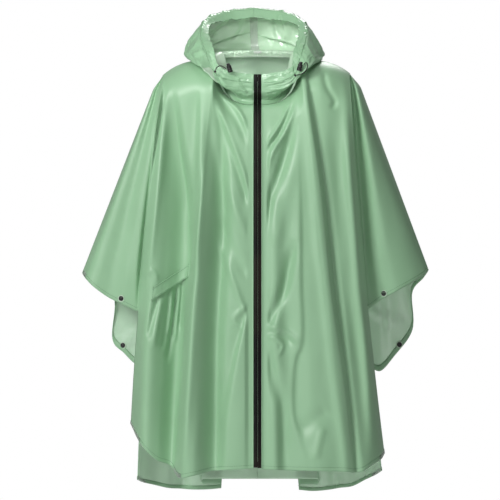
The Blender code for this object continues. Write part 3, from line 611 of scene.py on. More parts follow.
for source, target in (
        (c_place.outputs["Object"], c_stretch.inputs["Vector"]),
        (c_stretch.outputs["Vector"], c_soft.inputs["Vector"]),
        (c_stretch.outputs["Vector"], c_fine.inputs["Vector"]),
        (c_place.outputs["Object"], c_weave.inputs["Vector"]),
        (c_soft.outputs["Fac"], c_tone.inputs["Factor"]),
        (c_in.outputs["Tone"], c_tone.inputs["A"]),
        (c_in.outputs["Shade"], c_tone.inputs["B"]),
        (c_tone.outputs["Result"], c_out.inputs["Color"]),
        (c_fine.outputs["Fac"], c_rough.inputs["Value"]),
        (c_rough.outputs["Result"], c_sum.inputs[0]),
        (c_in.outputs["Gloss"], c_sum.inputs[1]),
        (c_sum.outputs["Value"], c_out.inputs["Roughness"]),
        (c_fine.outputs["Fac"], c_height.inputs[0]),
        (c_soft.outputs["Fac"], c_height.inputs[2]),
        (c_height.outputs["Value"], c_bump.inputs["Height"]),
        (c_in.outputs["Crinkle"], c_bump.inputs["Strength"]),
        (c_weave.outputs["Fac"], c_weave_bump.inputs["Height"]),
        (c_bump.outputs["Normal"], c_weave_bump.inputs["Normal"]),
        (c_weave_bump.outputs["Normal"], c_out.inputs["Normal"]),
):
    c_links.new(source, target)


def coated_cloth(name, tone, shade, gloss, crinkle):
    """Material of coated cloth with its own tone, gloss and depth of crinkle."""
    material = bpy.data.materials.new(name)
    material.use_nodes = True
    nodes, links = material.node_tree.nodes, material.node_tree.links
    shader = nodes["Principled BSDF"]
    group = nodes.new("ShaderNodeGroup")
    group.node_tree = coating
    group.inputs["Tone"].default_value = (*tone, 1)
    group.inputs["Shade"].default_value = (*shade, 1)
    group.inputs["Gloss"].default_value = gloss
    group.inputs["Crinkle"].default_value = crinkle
    links.new(group.outputs["Color"], shader.inputs["Base Color"])
    links.new(group.outputs["Roughness"], shader.inputs["Roughness"])
    links.new(group.outputs["Normal"], shader.inputs["Normal"])
    shader.inputs["Coat Weight"].default_value = 0.08
    shader.inputs["Coat Roughness"].default_value = 0.30
    shader.inputs["Sheen Weight"].default_value = 0.08
    shader.inputs["Sheen Roughness"].default_value = 0.5
    return material


SAGE = (0.300, 0.520, 0.316)
SAGE_SHADE = (0.268, 0.478, 0.284)
face_cloth = coated_cloth("sage_coated_cloth", SAGE, SAGE_SHADE, 0.50, 0.25)


def see_through(material, share):
    """Let the daylight behind a thin cloth glow through to its inner face."""
    shader = material.node_tree.nodes["Principled BSDF"]
    shader.inputs["Subsurface Weight"].default_value = share
    shader.inputs["Subsurface Radius"].default_value = (1.0, 1.0, 1.0)
    shader.inputs["Subsurface Scale"].default_value = 0.004
    return material


lining = see_through(coated_cloth("sage_inner_face", (0.50, 0.71, 0.51), (0.42, 0.63, 0.44),
                                  0.25, 0.60), 0.8)


def finish_cloth(mesh, name, material, wall, inner=lining):
    """Object from a sheet, welded, shaded smooth and thickened inwards to its wall."""
    bmesh.ops.remove_doubles(mesh, verts=mesh.verts, dist=0.00002)
    piece = make_object(name, mesh, material, inner, smooth=True)
    thicken = piece.modifiers.new("wall", "SOLIDIFY")
    thicken.thickness = wall
    thicken.offset = -1
    thicken.use_even_offset = False
    thicken.material_offset = 1
    return piece


FRONT_RIGHT_CREASES = (
    Crease("sleeve line", "edge", 0.034, 0.016, 0.014,
           ((-0.220, 0.000), (-0.232, -0.090), (-0.242, -0.152), (-0.264, -0.307),
            (-0.283, -0.472), (-0.290, -0.620))),
    Crease("sleeve ridge", "ridge", 0.026, 0.018, 0.003,
           ((-0.238, -0.030), (-0.262, -0.150), (-0.290, -0.307), (-0.316, -0.470),
            (-0.330, -0.580))),
    Crease("armhole ridge", "ridge", 0.012, 0.010, 0.008,
           ((-0.216, -0.020), (-0.229, -0.196), (-0.241, -0.307), (-0.254, -0.417),
            (-0.275, -0.560))),
    Crease("breast line", "trough", 0.022, 0.006, 0.006,
           ((-0.146, -0.030), (-0.148, -0.200), (-0.152, -0.370))),
    Crease("breast ridge", "ridge", 0.010, 0.014, 0.012,
           ((-0.128, -0.020), (-0.134, -0.158), (-0.138, -0.307), (-0.146, -0.440),
            (-0.152, -0.540), (-0.158, -0.640), (-0.166, -0.760), (-0.175, -0.900),
            (-0.180, -1.080))),
    Crease("main fold", "edge", 0.036, 0.030, -0.013,
           ((-0.128, -0.200), (-0.140, -0.320), (-0.150, -0.410), (-0.160, -0.475),
            (-0.170, -0.540), (-0.177, -0.697), (-0.187, -0.825), (-0.194, -0.960),
            (-0.200, -1.100))),
    Crease("armhole hollow", "trough", 0.044, 0.011, 0.036,
           ((-0.210, -0.030), (-0.197, -0.110), (-0.186, -0.200), (-0.169, -0.307),
            (-0.164, -0.400), (-0.162, -0.480), (-0.172, -0.560), (-0.178, -0.650),
            (-0.187, -0.800), (-0.194, -0.960), (-0.199, -1.100))),
    Crease("breast trough", "trough", 0.030, 0.014, 0.025,
           ((-0.104, -0.030), (-0.090, -0.180), (-0.083, -0.307), (-0.086, -0.440),
            (-0.096, -0.600), (-0.100, -0.760), (-0.102, -0.950), (-0.104, -1.080))),
    Crease("kite top", "trough", 0.012, 0.012, 0.004,
           ((-0.092, -0.345), (-0.060, -0.430), (-0.020, -0.510))),
    Crease("kite foot", "ridge", 0.007, 0.007, 0.004,
           ((-0.096, -0.395), (-0.070, -0.470), (-0.042, -0.550), (-0.022, -0.590))),
    Crease("first neck fold", "ridge", 0.006, 0.006, 0.006,
           ((-0.114, -0.030), (-0.080, -0.068), (-0.046, -0.098), (-0.018, -0.156))),
    Crease("first neck hollow", "trough", 0.009, 0.009, 0.005,
           ((-0.104, -0.045), (-0.070, -0.095), (-0.045, -0.130), (-0.020, -0.190))),
    Crease("second neck fold", "ridge", 0.008, 0.008, 0.007,
           ((-0.110, -0.045), (-0.068, -0.158), (-0.031, -0.257), (-0.016, -0.300))),
    Crease("second neck hollow", "trough", 0.010, 0.010, 0.007,
           ((-0.104, -0.080), (-0.062, -0.190), (-0.036, -0.275), (-0.018, -0.340))),
    Crease("third neck fold", "ridge", 0.012, 0.012, 0.005,
           ((-0.108, -0.090), (-0.084, -0.231), (-0.055, -0.330), (-0.022, -0.410))),
    Crease("hook", "ridge", 0.006, 0.006, 0.004,
           ((-0.018, -0.560), (-0.045, -0.582), (-0.056, -0.602), (-0.030, -0.624))),
    Crease("skirt fold", "edge", 0.030, 0.120, -0.007,
           ((-0.022, -0.570), (-0.034, -0.610), (-0.052, -0.680), (-0.068, -0.761),
            (-0.080, -0.850), (-0.088, -1.060))),
    Crease("side swell", "ridge", 0.030, 0.046, 0.008,
           ((-0.258, -0.560), (-0.262, -0.700), (-0.268, -0.860), (-0.272, -1.050))),
    Crease("gather 1", "trough", 0.006, 0.006, 0.007,
           ((-0.236, -0.540), (-0.250, -0.590), (-0.264, -0.650))),
    Crease("gather 2", "ridge", 0.007, 0.007, 0.006,
           ((-0.226, -0.535), (-0.238, -0.600), (-0.250, -0.670))),
    Crease("gather 3", "trough", 0.006, 0.006, 0.006,
           ((-0.211, -0.530), (-0.217, -0.600), (-0.228, -0.680))),
    Crease("gather 4", "ridge", 0.005, 0.005, 0.005,
           ((-0.202, -0.520), (-0.207, -0.590), (-0.214, -0.640))),
    Crease("gather 5", "trough", 0.006, 0.006, 0.009,
           ((-0.192, -0.515), (-0.203, -0.600), (-0.218, -0.710))),
    Crease("gather 6", "ridge", 0.005, 0.005, 0.005,
           ((-0.184, -0.510), (-0.192, -0.590), (-0.198, -0.660))),
    Crease("gather 7", "trough", 0.005, 0.005, 0.006,
           ((-0.177, -0.500), (-0.183, -0.560), (-0.188, -0.630))),
    Crease("welt pucker", "ridge", 0.005, 0.005, 0.004,
           ((-0.266, -0.496), (-0.254, -0.482), (-0.242, -0.492), (-0.240, -0.512))),
)
FRONT_LEFT_CREASES = (
    Crease("main fold", "edge", 0.026, 0.014, 0.015,
           ((0.110, 0.050), (0.118, -0.024), (0.129, -0.105), (0.146, -0.215),
            (0.158, -0.307), (0.169, -0.417), (0.182, -0.542), (0.200, -0.665),
            (0.216, -0.793), (0.232, -0.958), (0.250, -1.160))),
    Crease("breast ridge", "ridge", 0.012, 0.018, 0.007,
           ((0.108, -0.030), (0.129, -0.215), (0.144, -0.417), (0.155, -0.504),
            (0.181, -0.730), (0.207, -0.920), (0.215, -1.080))),
    Crease("armhole trough", "trough", 0.022, 0.018, 0.010,
           ((0.168, -0.080), (0.184, -0.215), (0.193, -0.417), (0.208, -0.540),
            (0.230, -0.690), (0.246, -0.860), (0.256, -1.050))),
    Crease("armhole ridge", "ridge", 0.014, 0.014, 0.010,
           ((0.204, -0.030), (0.212, -0.150), (0.219, -0.260), (0.232, -0.417),
            (0.240, -0.540), (0.256, -0.665), (0.268, -0.850), (0.274, -1.050))),
    Crease("sleeve line", "trough", 0.012, 0.009, 0.004,
           ((0.205, 0.020), (0.222, -0.050), (0.232, -0.105), (0.239, -0.215),
            (0.247, -0.307), (0.256, -0.454), (0.262, -0.640))),
    Crease("sleeve ridge", "ridge", 0.022, 0.024, 0.010,
           ((0.228, -0.010), (0.247, -0.105), (0.260, -0.215), (0.272, -0.307),
            (0.286, -0.454), (0.296, -0.620))),
    Crease("shoulder hook", "trough", 0.007, 0.007, 0.005,
           ((0.156, 0.004), (0.165, -0.042), (0.184, -0.078), (0.172, -0.100))),
    Crease("first neck fold", "ridge", 0.006, 0.006, 0.006,
           ((0.096, -0.040), (0.055, -0.131), (0.014, -0.188))),
    Crease("first neck hollow", "trough", 0.007, 0.007, 0.006,
           ((0.090, -0.070), (0.052, -0.152), (0.014, -0.204))),
    Crease("second neck fold", "ridge", 0.007, 0.007, 0.006,
           ((0.098, -0.045), (0.070, -0.141), (0.037, -0.197), (0.013, -0.272))),
    Crease("second neck hollow", "trough", 0.012, 0.012, 0.012,
           ((0.094, -0.105), (0.068, -0.200), (0.044, -0.270), (0.024, -0.330),
            (0.010, -0.400))),
    Crease("breast swell", "ridge", 0.016, 0.016, 0.005,
           ((0.088, -0.200), (0.062, -0.330), (0.046, -0.430))),
    Crease("leaf", "trough", 0.013, 0.010, 0.011,
           ((0.090, -0.400), (0.076, -0.470), (0.062, -0.530), (0.040, -0.580),
            (0.018, -0.625))),
    Crease("flank fold", "edge", 0.034, 0.070, 0.005,
           ((0.098, -0.160), (0.103, -0.344), (0.104, -0.504), (0.107, -0.642),
            (0.090, -0.700), (0.086, -0.809), (0.101, -0.873), (0.130, -0.980))),
    Crease("upper loop", "ridge", 0.006, 0.006, 0.004,
           ((0.008, -0.610), (0.062, -0.623), (0.108, -0.660))),
    Crease("loop hollow", "trough", 0.007, 0.007, 0.004,
           ((0.008, -0.624), (0.050, -0.634), (0.088, -0.656))),
    Crease("lower loop", "ridge", 0.005, 0.005, 0.004,
           ((0.008, -0.634), (0.045, -0.641), (0.060, -0.662), (0.046, -0.688))),
    Crease("skirt trough", "trough", 0.014, 0.014, 0.012,
           ((0.018, -0.640), (0.046, -0.761), (0.059, -0.825), (0.062, -1.040))),
    Crease("skirt hollow", "trough", 0.016, 0.016, 0.004,
           ((0.095, -0.868), (0.140, -0.832), (0.170, -0.812))),
    Crease("skirt tongue", "ridge", 0.008, 0.008, 0.004,
           ((0.158, -0.848), (0.146, -0.890), (0.136, -0.935))),
)
fronts = {}
laid = {}                  # each panel as it hangs, for laying other pieces on it
for name, panel, creases, seed, area in (
        ("front_right", FRONT_RIGHT, FRONT_RIGHT_CREASES, 3.1, 0.36),
        ("front_left", FRONT_LEFT, FRONT_LEFT_CREASES, 8.4, 0.36)):
    mesh = bmesh.new()
    sew_panel(mesh, panel, FRONT_WEAVE, creases, seed)
    laid[panel] = BVHTree.FromBMesh(mesh)
    piece = finish_cloth(mesh, f"{name}_panel", face_cloth, CLOTH)
    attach(piece, "garment")
    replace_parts(piece, name)
    fronts[name] = piece

# ------------------------------------------------------------------ back panel
# One wide panel of the same cloth, cut in one with both sleeve backs and a little longer than
# the fronts. An inverted pleat opens down its centre, its layers tacked at the neck seam.

PLEAT_GROOVE_START = 0.030
PLEAT_GROOVE_RUN = 0.100
PLEAT_OPEN_START = 0.130
PLEAT_OPEN_RUN = 0.850
PLEAT_RETURN = 0.048
PLEAT_LAYER = 0.0060
PLEAT_TURN = 0.0040
UNDERLAY_HEM_Z = -0.987


def pleat_line(panel, share):
    """One side of the pleat at a row, from its outer edge in to the middle of the underlay."""
    fold = panel.folds[0]
    edge = body_point(panel, fold, share)
    top = top_edge(fold.x_top, panel.facing)
    drop = top.z - edge.z
    groove = ease((drop - PLEAT_GROOVE_START) / PLEAT_GROOVE_RUN)
    opening = ease((drop - PLEAT_OPEN_START) / PLEAT_OPEN_RUN)
    reach = PLEAT_RETURN * opening
    turn = PLEAT_TURN * min(1.0, reach / (3 * PLEAT_TURN))
    folded = ((0.0, 0.5), (turn, 1.0), (reach - turn, 1.0), (reach, 1.5), (reach - turn, 2.0))
    under_z = top.z + (UNDERLAY_HEM_Z - top.z) * share
    points = [edge]
    for number, (offset, layer) in enumerate(folded, start=1):
        spread = abs(edge.x) * (1 - number / (len(folded) + 1))
        x = spread + (abs(edge.x) + offset - spread) * groove
        z = edge.z + (under_z - edge.z) * layer / 2
        points.append(Vector((panel.side * x, edge.y - layer * PLEAT_LAYER * groove, z)))
    return points + [Vector((0.0, edge.y - 2 * PLEAT_LAYER * groove, under_z))]


BACK_CREASES = (
    Crease("right blade fold", "edge", 0.034, 0.034, 0.010,
           ((-0.140, 0.000), (-0.150, -0.150), (-0.166, -0.380), (-0.186, -0.640),
            (-0.200, -0.860), (-0.208, -1.100))),
    Crease("right blade ridge", "ridge", 0.016, 0.016, 0.006,
           ((-0.112, -0.030), (-0.128, -0.260), (-0.150, -0.560), (-0.170, -0.850),
            (-0.180, -1.100))),
    Crease("right neck fold", "ridge", 0.009, 0.009, 0.005,
           ((-0.098, -0.010), (-0.074, -0.110), (-0.040, -0.240), (-0.022, -0.330))),
    Crease("right neck hollow", "trough", 0.010, 0.010, 0.004,
           ((-0.088, -0.030), (-0.060, -0.120), (-0.034, -0.200))),
    Crease("right skirt trough", "trough", 0.018, 0.018, 0.008,
           ((-0.104, -0.380), (-0.124, -0.600), (-0.138, -0.820), (-0.140, -1.100))),
    Crease("right side fold", "trough", 0.008, 0.008, 0.008,
           ((-0.205, -0.015), (-0.226, -0.200), (-0.240, -0.420), (-0.256, -0.700),
            (-0.262, -0.940))),
    Crease("right sleeve fold", "ridge", 0.016, 0.016, 0.007,
           ((-0.236, -0.030), (-0.268, -0.240), (-0.302, -0.460), (-0.322, -0.700))),
    Crease("right sleeve hollow", "trough", 0.020, 0.020, 0.006,
           ((-0.262, -0.120), (-0.304, -0.300), (-0.348, -0.520))),
    Crease("right cuff fold", "edge", 0.022, 0.026, -0.0022,
           ((-0.270, -0.574), (-0.292, -0.592), (-0.318, -0.609), (-0.352, -0.634))),
    Crease("right cuff tuck", "edge", 0.018, 0.020, -0.0030,
           ((-0.276, -0.624), (-0.290, -0.640), (-0.305, -0.658), (-0.318, -0.676))),
    Crease("left blade fold", "edge", 0.029, 0.029, -0.009,
           ((0.146, 0.000), (0.160, -0.180), (0.176, -0.400), (0.196, -0.640),
            (0.214, -0.900), (0.220, -1.100))),
    Crease("left blade ridge", "ridge", 0.014, 0.014, 0.006,
           ((0.118, -0.020), (0.136, -0.300), (0.150, -0.520), (0.176, -0.860),
            (0.184, -1.100))),
    Crease("left neck fold", "ridge", 0.008, 0.008, 0.005,
           ((0.096, -0.010), (0.066, -0.130), (0.046, -0.270), (0.032, -0.420))),
    Crease("left neck hollow", "trough", 0.009, 0.009, 0.005,
           ((0.084, -0.020), (0.052, -0.150), (0.030, -0.260))),
    Crease("left skirt trough", "trough", 0.020, 0.020, 0.009,
           ((0.112, -0.300), (0.120, -0.540), (0.142, -0.780), (0.156, -1.100))),
    Crease("left side fold", "trough", 0.008, 0.008, 0.009,
           ((0.206, -0.015), (0.222, -0.160), (0.236, -0.380), (0.252, -0.640),
            (0.268, -0.900))),
    Crease("left sleeve fold", "ridge", 0.014, 0.014, 0.008,
           ((0.228, -0.030), (0.256, -0.240), (0.288, -0.480), (0.306, -0.720))),
    Crease("left sleeve hollow", "trough", 0.022, 0.022, 0.007,
           ((0.258, -0.120), (0.300, -0.320), (0.340, -0.540))),
    Crease("left cuff tape top", "edge", 0.012, 0.010, 0.0050,
           ((0.368, -0.607), (0.330, -0.594), (0.300, -0.582), (0.262, -0.566))),
    Crease("left cuff tape foot", "edge", 0.012, 0.010, -0.0050,
           ((0.368, -0.630), (0.330, -0.618), (0.300, -0.604), (0.262, -0.586))),
)
back_mesh = bmesh.new()
for panel in (BACK_RIGHT, BACK_LEFT):
    sew_panel(back_mesh, panel, BACK_WEAVE, BACK_CREASES, 5.7)
    pleat_rows = {}

    def pleat_place(across, down, upper):
        share = upper_share(panel, down)
        if not upper:
            share = panel.underarm + (1 - panel.underarm) * down
        if share not in pleat_rows:
            pleat_rows[share] = pleat_line(panel, share)
        line = pleat_rows[share]
        spot = across * (len(line) - 1)
        start = min(int(spot), len(line) - 2)
        return line[start].lerp(line[start + 1], spot - start)

    old = set(back_mesh.faces)
    under = list(add_patch(back_mesh, 24, BACK_WEAVE.upper, lambda a, d: pleat_place(a, d, True)))
    under += add_patch(back_mesh, 24, BACK_WEAVE.lower, lambda a, d: pleat_place(a, d, False))
    press_creases(under, panel, BACK_CREASES, 5.7)
    new = [face for face in back_mesh.faces if face not in old]
    if panel.side * panel.facing < 0:
        bmesh.ops.reverse_faces(back_mesh, faces=new)
laid[BACK_RIGHT] = laid[BACK_LEFT] = BVHTree.FromBMesh(back_mesh)
back = finish_cloth(back_mesh, "back_panel", face_cloth, CLOTH)
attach(back, "garment")
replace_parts(back, "back")

# ------------------------------------------------------------------ hood
# Two halves of the same cloth joined over the crown, with a doubled casing sewn round the
# face opening. It has fallen back, so the glossy inside and its sealed centre seam show.

# A hood section runs from the neck seam to the rim of the face opening. turn is its place on
# the neck seam, from the centre front round to the centre back, and rise is how far the hood
# stands up from the seam before it spreads over the shoulders.
HoodSection = namedtuple("HoodSection", "name turn rise bulge upper casing rim")
HOOD_SECTIONS = (
    HoodSection("zip edge", 5.5, 0.012, (FRONT_EDGE, -0.098, -0.058),
                (FRONT_EDGE, -0.102, -0.046), (FRONT_EDGE, -0.104, -0.034),
                (FRONT_EDGE, -0.103, -0.012)),
    HoodSection("lock", 36, 0.016, (0.074, -0.102, -0.046), (0.085, -0.111, -0.031),
                (0.089, -0.111, -0.018), (0.083, -0.107, 0.003)),
    HoodSection("cheek", 64, 0.070, (0.124, -0.116, -0.001), (0.131, -0.104, 0.016),
                (0.119, -0.085, 0.038), (0.098, -0.076, 0.046)),
    HoodSection("side", 90, 0.014, (0.161, -0.018, 0.0245), (0.163, -0.008, 0.049),
                (0.134, -0.006, 0.094), (0.112, -0.018, 0.088)),
    HoodSection("quarter", 120, 0.014, (0.148, 0.078, 0.042), (0.150, 0.078, 0.080),
                (0.119, 0.058, 0.127), (0.104, 0.038, 0.115)),
    HoodSection("crown side", 150, 0.014, (0.092, 0.142, 0.050), (0.094, 0.138, 0.100),
                (0.068, 0.108, 0.149), (0.058, 0.082, 0.127)),
    HoodSection("centre seam", 180, 0.014, (0.0, 0.164, 0.052), (0.0, 0.158, 0.108),
                (0.0, 0.120, 0.154), (0.0, 0.092, 0.131)),
)
NECK_FACET = 0.0034        # room for the flat facets of the steep sides of the neckline
HOOD_STAND_LEAN = 0.004    # the stand leans in over the throat and out behind the neck
HOOD_SLUMP = -0.009       # the hood leans to the wearer's right
CASING_PLACE = 4           # the level of the casing's stitching, counted from the neck seam
RIM_PLACE = 5


def hood_levels(section):
    """Points of one hood section, from the neck seam to the rim, on the wearer's left."""
    seam = neck_point(section.turn)
    outward = Vector((seam.x, seam.y, 0)).normalized()
    neck = seam - outward * (0.0012 + SEAM_GAP + NECK_FACET * abs(outward.x))
    neck.z += SEAM_GAP
    lean = HOOD_STAND_LEAN * (ease(section.turn / 90 - 0.5) - 0.5) * 2
    stand = neck + outward * lean + Vector((0, 0, section.rise))
    if section.name in ("zip edge", "centre seam"):
        neck.x = stand.x = section.bulge[0]
    return [neck, stand, Vector(section.bulge), Vector(section.upper),
            Vector(section.casing), Vector(section.rim)]


HOOD_LEVELS = [hood_levels(section) for section in HOOD_SECTIONS]


def hood_point(side, around, place):
    """Point of the hood; around runs from the zip (0) to the centre seam (6)."""
    levels = [spline(points, place) for points in HOOD_LEVELS]
    first, last = levels[1].copy(), levels[-2].copy()
    first.x, last.x = 2 * levels[0].x - first.x, -last.x
    point = spline([first] + levels + [last], around + 1)
    slump = HOOD_SLUMP * ease((place - 1) / 2) * ease(around / 2)
    seam = SEAM_GAP / 2 if around > len(HOOD_SECTIONS) - 1.001 else 0.0
    return Vector((side * (point.x + seam) + slump, point.y, point.z))


# Creases of the hood lie on its own two measures: round from the zip (0) to the centre seam (6)
# and up from the neck seam (0, written -0) to the casing (-4) and the rim (-5).
HOOD_CREASES = {
    RIGHT: (
        Crease("crown pull 1", "ridge", 0.09, 0.06, 0.0070,
               ((5.75, -4.0), (5.3, -3.3), (4.8, -2.7))),
        Crease("crown pull 2", "trough", 0.08, 0.10, 0.0070,
               ((5.5, -4.0), (5.05, -3.4), (4.6, -3.0))),
        Crease("crown pull 3", "ridge", 0.06, 0.10, 0.0060,
               ((5.2, -4.0), (4.7, -3.4), (4.3, -3.0))),
        Crease("crown pull 4", "ridge", 0.06, 0.07, 0.0050,
               ((5.9, -3.7), (5.7, -3.0), (5.4, -2.4))),
        Crease("temple fold", "trough", 0.16, 0.10, 0.0050,
               ((4.1, -4.1), (3.9, -3.3), (3.9, -2.5))),
        Crease("ear fold 1", "ridge", 0.10, 0.16, 0.0040, ((3.2, -3.9), (3.3, -3.0), (3.1, -2.2))),
        Crease("ear fold 2", "ridge", 0.09, 0.12, 0.0040, ((2.5, -4.0), (2.7, -3.2), (2.9, -2.4))),
        Crease("cheek fold 1", "ridge", 0.07, 0.09, 0.0035,
               ((2.1, -4.1), (2.3, -3.5), (2.5, -3.0))),
        Crease("cheek fold 2", "trough", 0.07, 0.09, 0.0035,
               ((1.9, -4.1), (2.1, -3.4), (2.3, -2.8))),
        Crease("cheek fold 3", "ridge", 0.07, 0.08, 0.0040,
               ((1.6, -4.2), (1.8, -3.5), (2.0, -2.6))),
        Crease("lock gather 1", "ridge", 0.06, 0.06, 0.0035,
               ((1.15, -4.4), (1.15, -3.3), (1.25, -2.2))),
        Crease("lock gather 2", "trough", 0.06, 0.06, 0.0035,
               ((1.0, -4.4), (1.0, -3.3), (1.05, -2.0))),
        Crease("lock gather 3", "ridge", 0.06, 0.08, 0.0035,
               ((0.85, -4.4), (0.82, -3.3), (0.86, -2.4))),
        Crease("throat line", "edge", 0.30, 0.10, 0.0018,
               ((0.42, -4.8), (0.30, -3.0), (0.16, -1.2))),
        Crease("back fold", "edge", 0.35, 0.80, -0.0100,
               ((4.3, -2.2), (5.0, -2.5), (5.6, -2.75), (6.6, -2.85))),
    ),
    LEFT: (
        Crease("crown pull 1", "ridge", 0.06, 0.10, 0.0065,
               ((5.7, -4.0), (5.5, -3.3), (5.4, -2.6))),
        Crease("crown pull 2", "trough", 0.09, 0.12, 0.0080,
               ((5.2, -4.0), (5.1, -3.2), (5.2, -2.5))),
        Crease("crown pull 3", "ridge", 0.06, 0.08, 0.0070,
               ((4.8, -4.1), (4.7, -3.3), (4.8, -2.7))),
        Crease("crown pull 4", "ridge", 0.06, 0.08, 0.0060,
               ((4.4, -4.1), (4.4, -3.4), (4.3, -2.6))),
        Crease("temple fold", "trough", 0.10, 0.14, 0.0015,
               ((4.1, -4.1), (4.1, -3.2), (4.0, -2.4))),
        Crease("ear fold 1", "ridge", 0.12, 0.16, 0.0030, ((3.3, -3.8), (3.2, -2.8), (3.4, -2.0))),
        Crease("ear fold 2", "trough", 0.12, 0.10, 0.0040, ((2.9, -4.0), (2.8, -3.0), (3.0, -2.2))),
        Crease("cheek fold 1", "ridge", 0.08, 0.08, 0.0035,
               ((2.4, -4.1), (2.3, -3.4), (2.5, -2.6))),
        Crease("cheek fold 2", "ridge", 0.07, 0.08, 0.0035,
               ((1.9, -4.3), (1.8, -3.4), (1.9, -2.4))),
        Crease("cheek fold 3", "trough", 0.07, 0.09, 0.0035,
               ((1.7, -4.3), (1.6, -3.2), (1.7, -2.2))),
        Crease("throat fold 1", "ridge", 0.14, 0.14, 0.0030,
               ((1.4, -3.2), (0.8, -2.6), (0.2, -2.7))),
        Crease("throat fold 2", "trough", 0.12, 0.12, 0.0030,
               ((1.3, -2.5), (0.7, -1.9), (0.2, -2.1))),
        Crease("throat fold 3", "ridge", 0.10, 0.10, 0.0025,
               ((0.9, -4.3), (0.5, -4.0), (0.1, -4.2))),
        Crease("back fold", "edge", 0.35, 0.80, -0.0110,
               ((3.9, -1.7), (4.5, -2.1), (5.2, -2.5), (6.6, -2.85))),
    ),
}
HOOD_CENTRE = Vector((0, 0.030, 0.050))
hood_cloth = coated_cloth("sage_hood_cloth", SAGE, SAGE_SHADE, 0.42, 0.60)
# the hood's inner face is painted paler than the body's inner face (sage_inner_face): painted light
# that lifts the shade inside the hood; its gloss and crinkle are its own
hood_lining = see_through(coated_cloth("hood_inner_face", (0.58, 0.78, 0.58), (0.48, 0.69, 0.49),
                                       0.22, 1.60), 0.4)
around_end = len(HOOD_SECTIONS) - 1


def crumple(side, spots, points):
    """Points of one side of the hood moved out and in by its creases and crinkles."""
    around = np.array([spot[0] for spot in spots])
    place = np.array([spot[1] for spot in spots])
    lift = np.zeros(len(around))
    for crease in HOOD_CREASES[side]:
        lift += crease_lift(around, -place, crease)
    moved = []
    for (turn, rise), point, height in zip(spots, points, lift):
        ruffle = ease((rise - 3.3) / 0.9) * (0.35 + 0.65 * ease((turn - 2.4) / 1.4))
        elastic = ease((turn - 3.6) / 0.8) * ease((rise - 0.25) / 0.3) * ease((1.9 - rise) / 0.5)
        height += 0.0026 * noise.noise(Vector((turn * 3.1, rise * 2.2, side * 4.0)))
        height += 0.0013 * noise.noise(Vector((turn * 8.0, rise * 5.0, side * 9.0)))
        height += ruffle * 0.0034 * noise.noise(Vector((turn * 9.0, rise * 2.4, side * 2.0)))
        height += ruffle * 0.0018 * noise.noise(Vector((turn * 18, rise * 6.0, side * 7.0)))
        height += elastic * 0.0040 * noise.noise(Vector((turn * 15, rise * 2.5, side * 5.0)))
        hold = ease((rise - 0.1) / 0.6) * ease((turn - 0.02) / 0.25) * ease((6 - turn) / 0.45)
        height -= 0.0045 * ease((rise - 0.6) / 0.8) * ease((turn - 0.8) / 1.0)
        outward = (point - HOOD_CENTRE).normalized()
        moved.append(point + outward * height * hold)
    return moved


def sew_hood(mesh, side, columns, rows, low, high, last):
    """Patch of one side of the hood from one height to another, facing outwards."""
    spots, points = [], []

    def place(across, down):
        spot = (across * last, low + (high - low) * (1 - down))
        spots.append(spot)
        points.append(hood_point(side, *spot))
        return points[-1]

    old = set(mesh.faces)
    verts = add_patch(mesh, columns, rows, place)
    for vert, point in zip(verts, crumple(side, spots, points)):
        vert.co = point
    if side == RIGHT:
        bmesh.ops.reverse_faces(mesh, faces=[face for face in mesh.faces if face not in old])


for name, side in (("hood_right", RIGHT), ("hood_left", LEFT)):
    mesh = bmesh.new()
    sew_hood(mesh, side, 180, 120, 0, CASING_PLACE, around_end)
    piece = finish_cloth(mesh, f"{name}_half", hood_cloth, CLOTH, hood_lining)
    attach(piece, "garment")
    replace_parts(piece, name)

# ------------------------------------------------------------------ rim casing
# A doubled band of the same cloth folded over the drawcord and sewn round the face opening.
# The cord gathers it, so it is ruffled most over the crown.

CASING_WALL = 0.0018
casing_mesh = bmesh.new()
for side in (RIGHT, LEFT):
    sew_hood(casing_mesh, side, 260, 22, CASING_PLACE + 0.02, RIM_PLACE, around_end - 0.0015)
gathered_cloth = coated_cloth("sage_gathered_cloth", SAGE, SAGE_SHADE, 0.30, 1.20)
casing = finish_cloth(casing_mesh, "rim_casing", gathered_cloth, CASING_WALL, hood_lining)
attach(casing, "garment")
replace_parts(casing, "hood_casing")

# ------------------------------------------------------------------ seam tape
# A clear heat-sealed tape that keeps rain out of the centre seam, pressed on inside the hood.

TAPE_HALF = 0.009
TAPE_WALL = 0.0004
TAPE_LIFT = 0.0013
tape_material, tape_shader = plain_material("seam_sealing_tape", (0.74, 0.88, 0.74), 0.20)
tape_shader.inputs["Coat Weight"].default_value = 0.4
see_through(tape_material, 0.6)


def tape_place(across, down):
    offset = (across - 0.5) * 2
    side = RIGHT if offset < 0 else LEFT
    rise = 3.85 - 3.45 * down
    step = (hood_point(side, 5.9, rise) - hood_point(side, 6, rise)).length
    turn = 6 - max(abs(offset) * TAPE_HALF / step * 0.1, 0.0005)
    point = crumple(side, [(turn, rise)], [hood_point(side, turn, rise)])[0]
    return point + (HOOD_CENTRE - point).normalized() * TAPE_LIFT


tape_mesh = bmesh.new()
add_patch(tape_mesh, 10, 90, tape_place)
bmesh.ops.recalc_face_normals(tape_mesh, faces=tape_mesh.faces)
tape = make_object("crown_seam_tape", tape_mesh, tape_material, smooth=True)
tape_wall = tape.modifiers.new("wall", "SOLIDIFY")
tape_wall.thickness = TAPE_WALL
tape_wall.offset = 0
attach(tape, "garment")
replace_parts(tape, "hood_seam_tape")

# ------------------------------------------------------------------ zip
# Two black coated tapes sewn into the front edges, meeting over a nylon coil on their inner
# face. The slider stands at the top of the collar behind the tapes, the box at the hem.

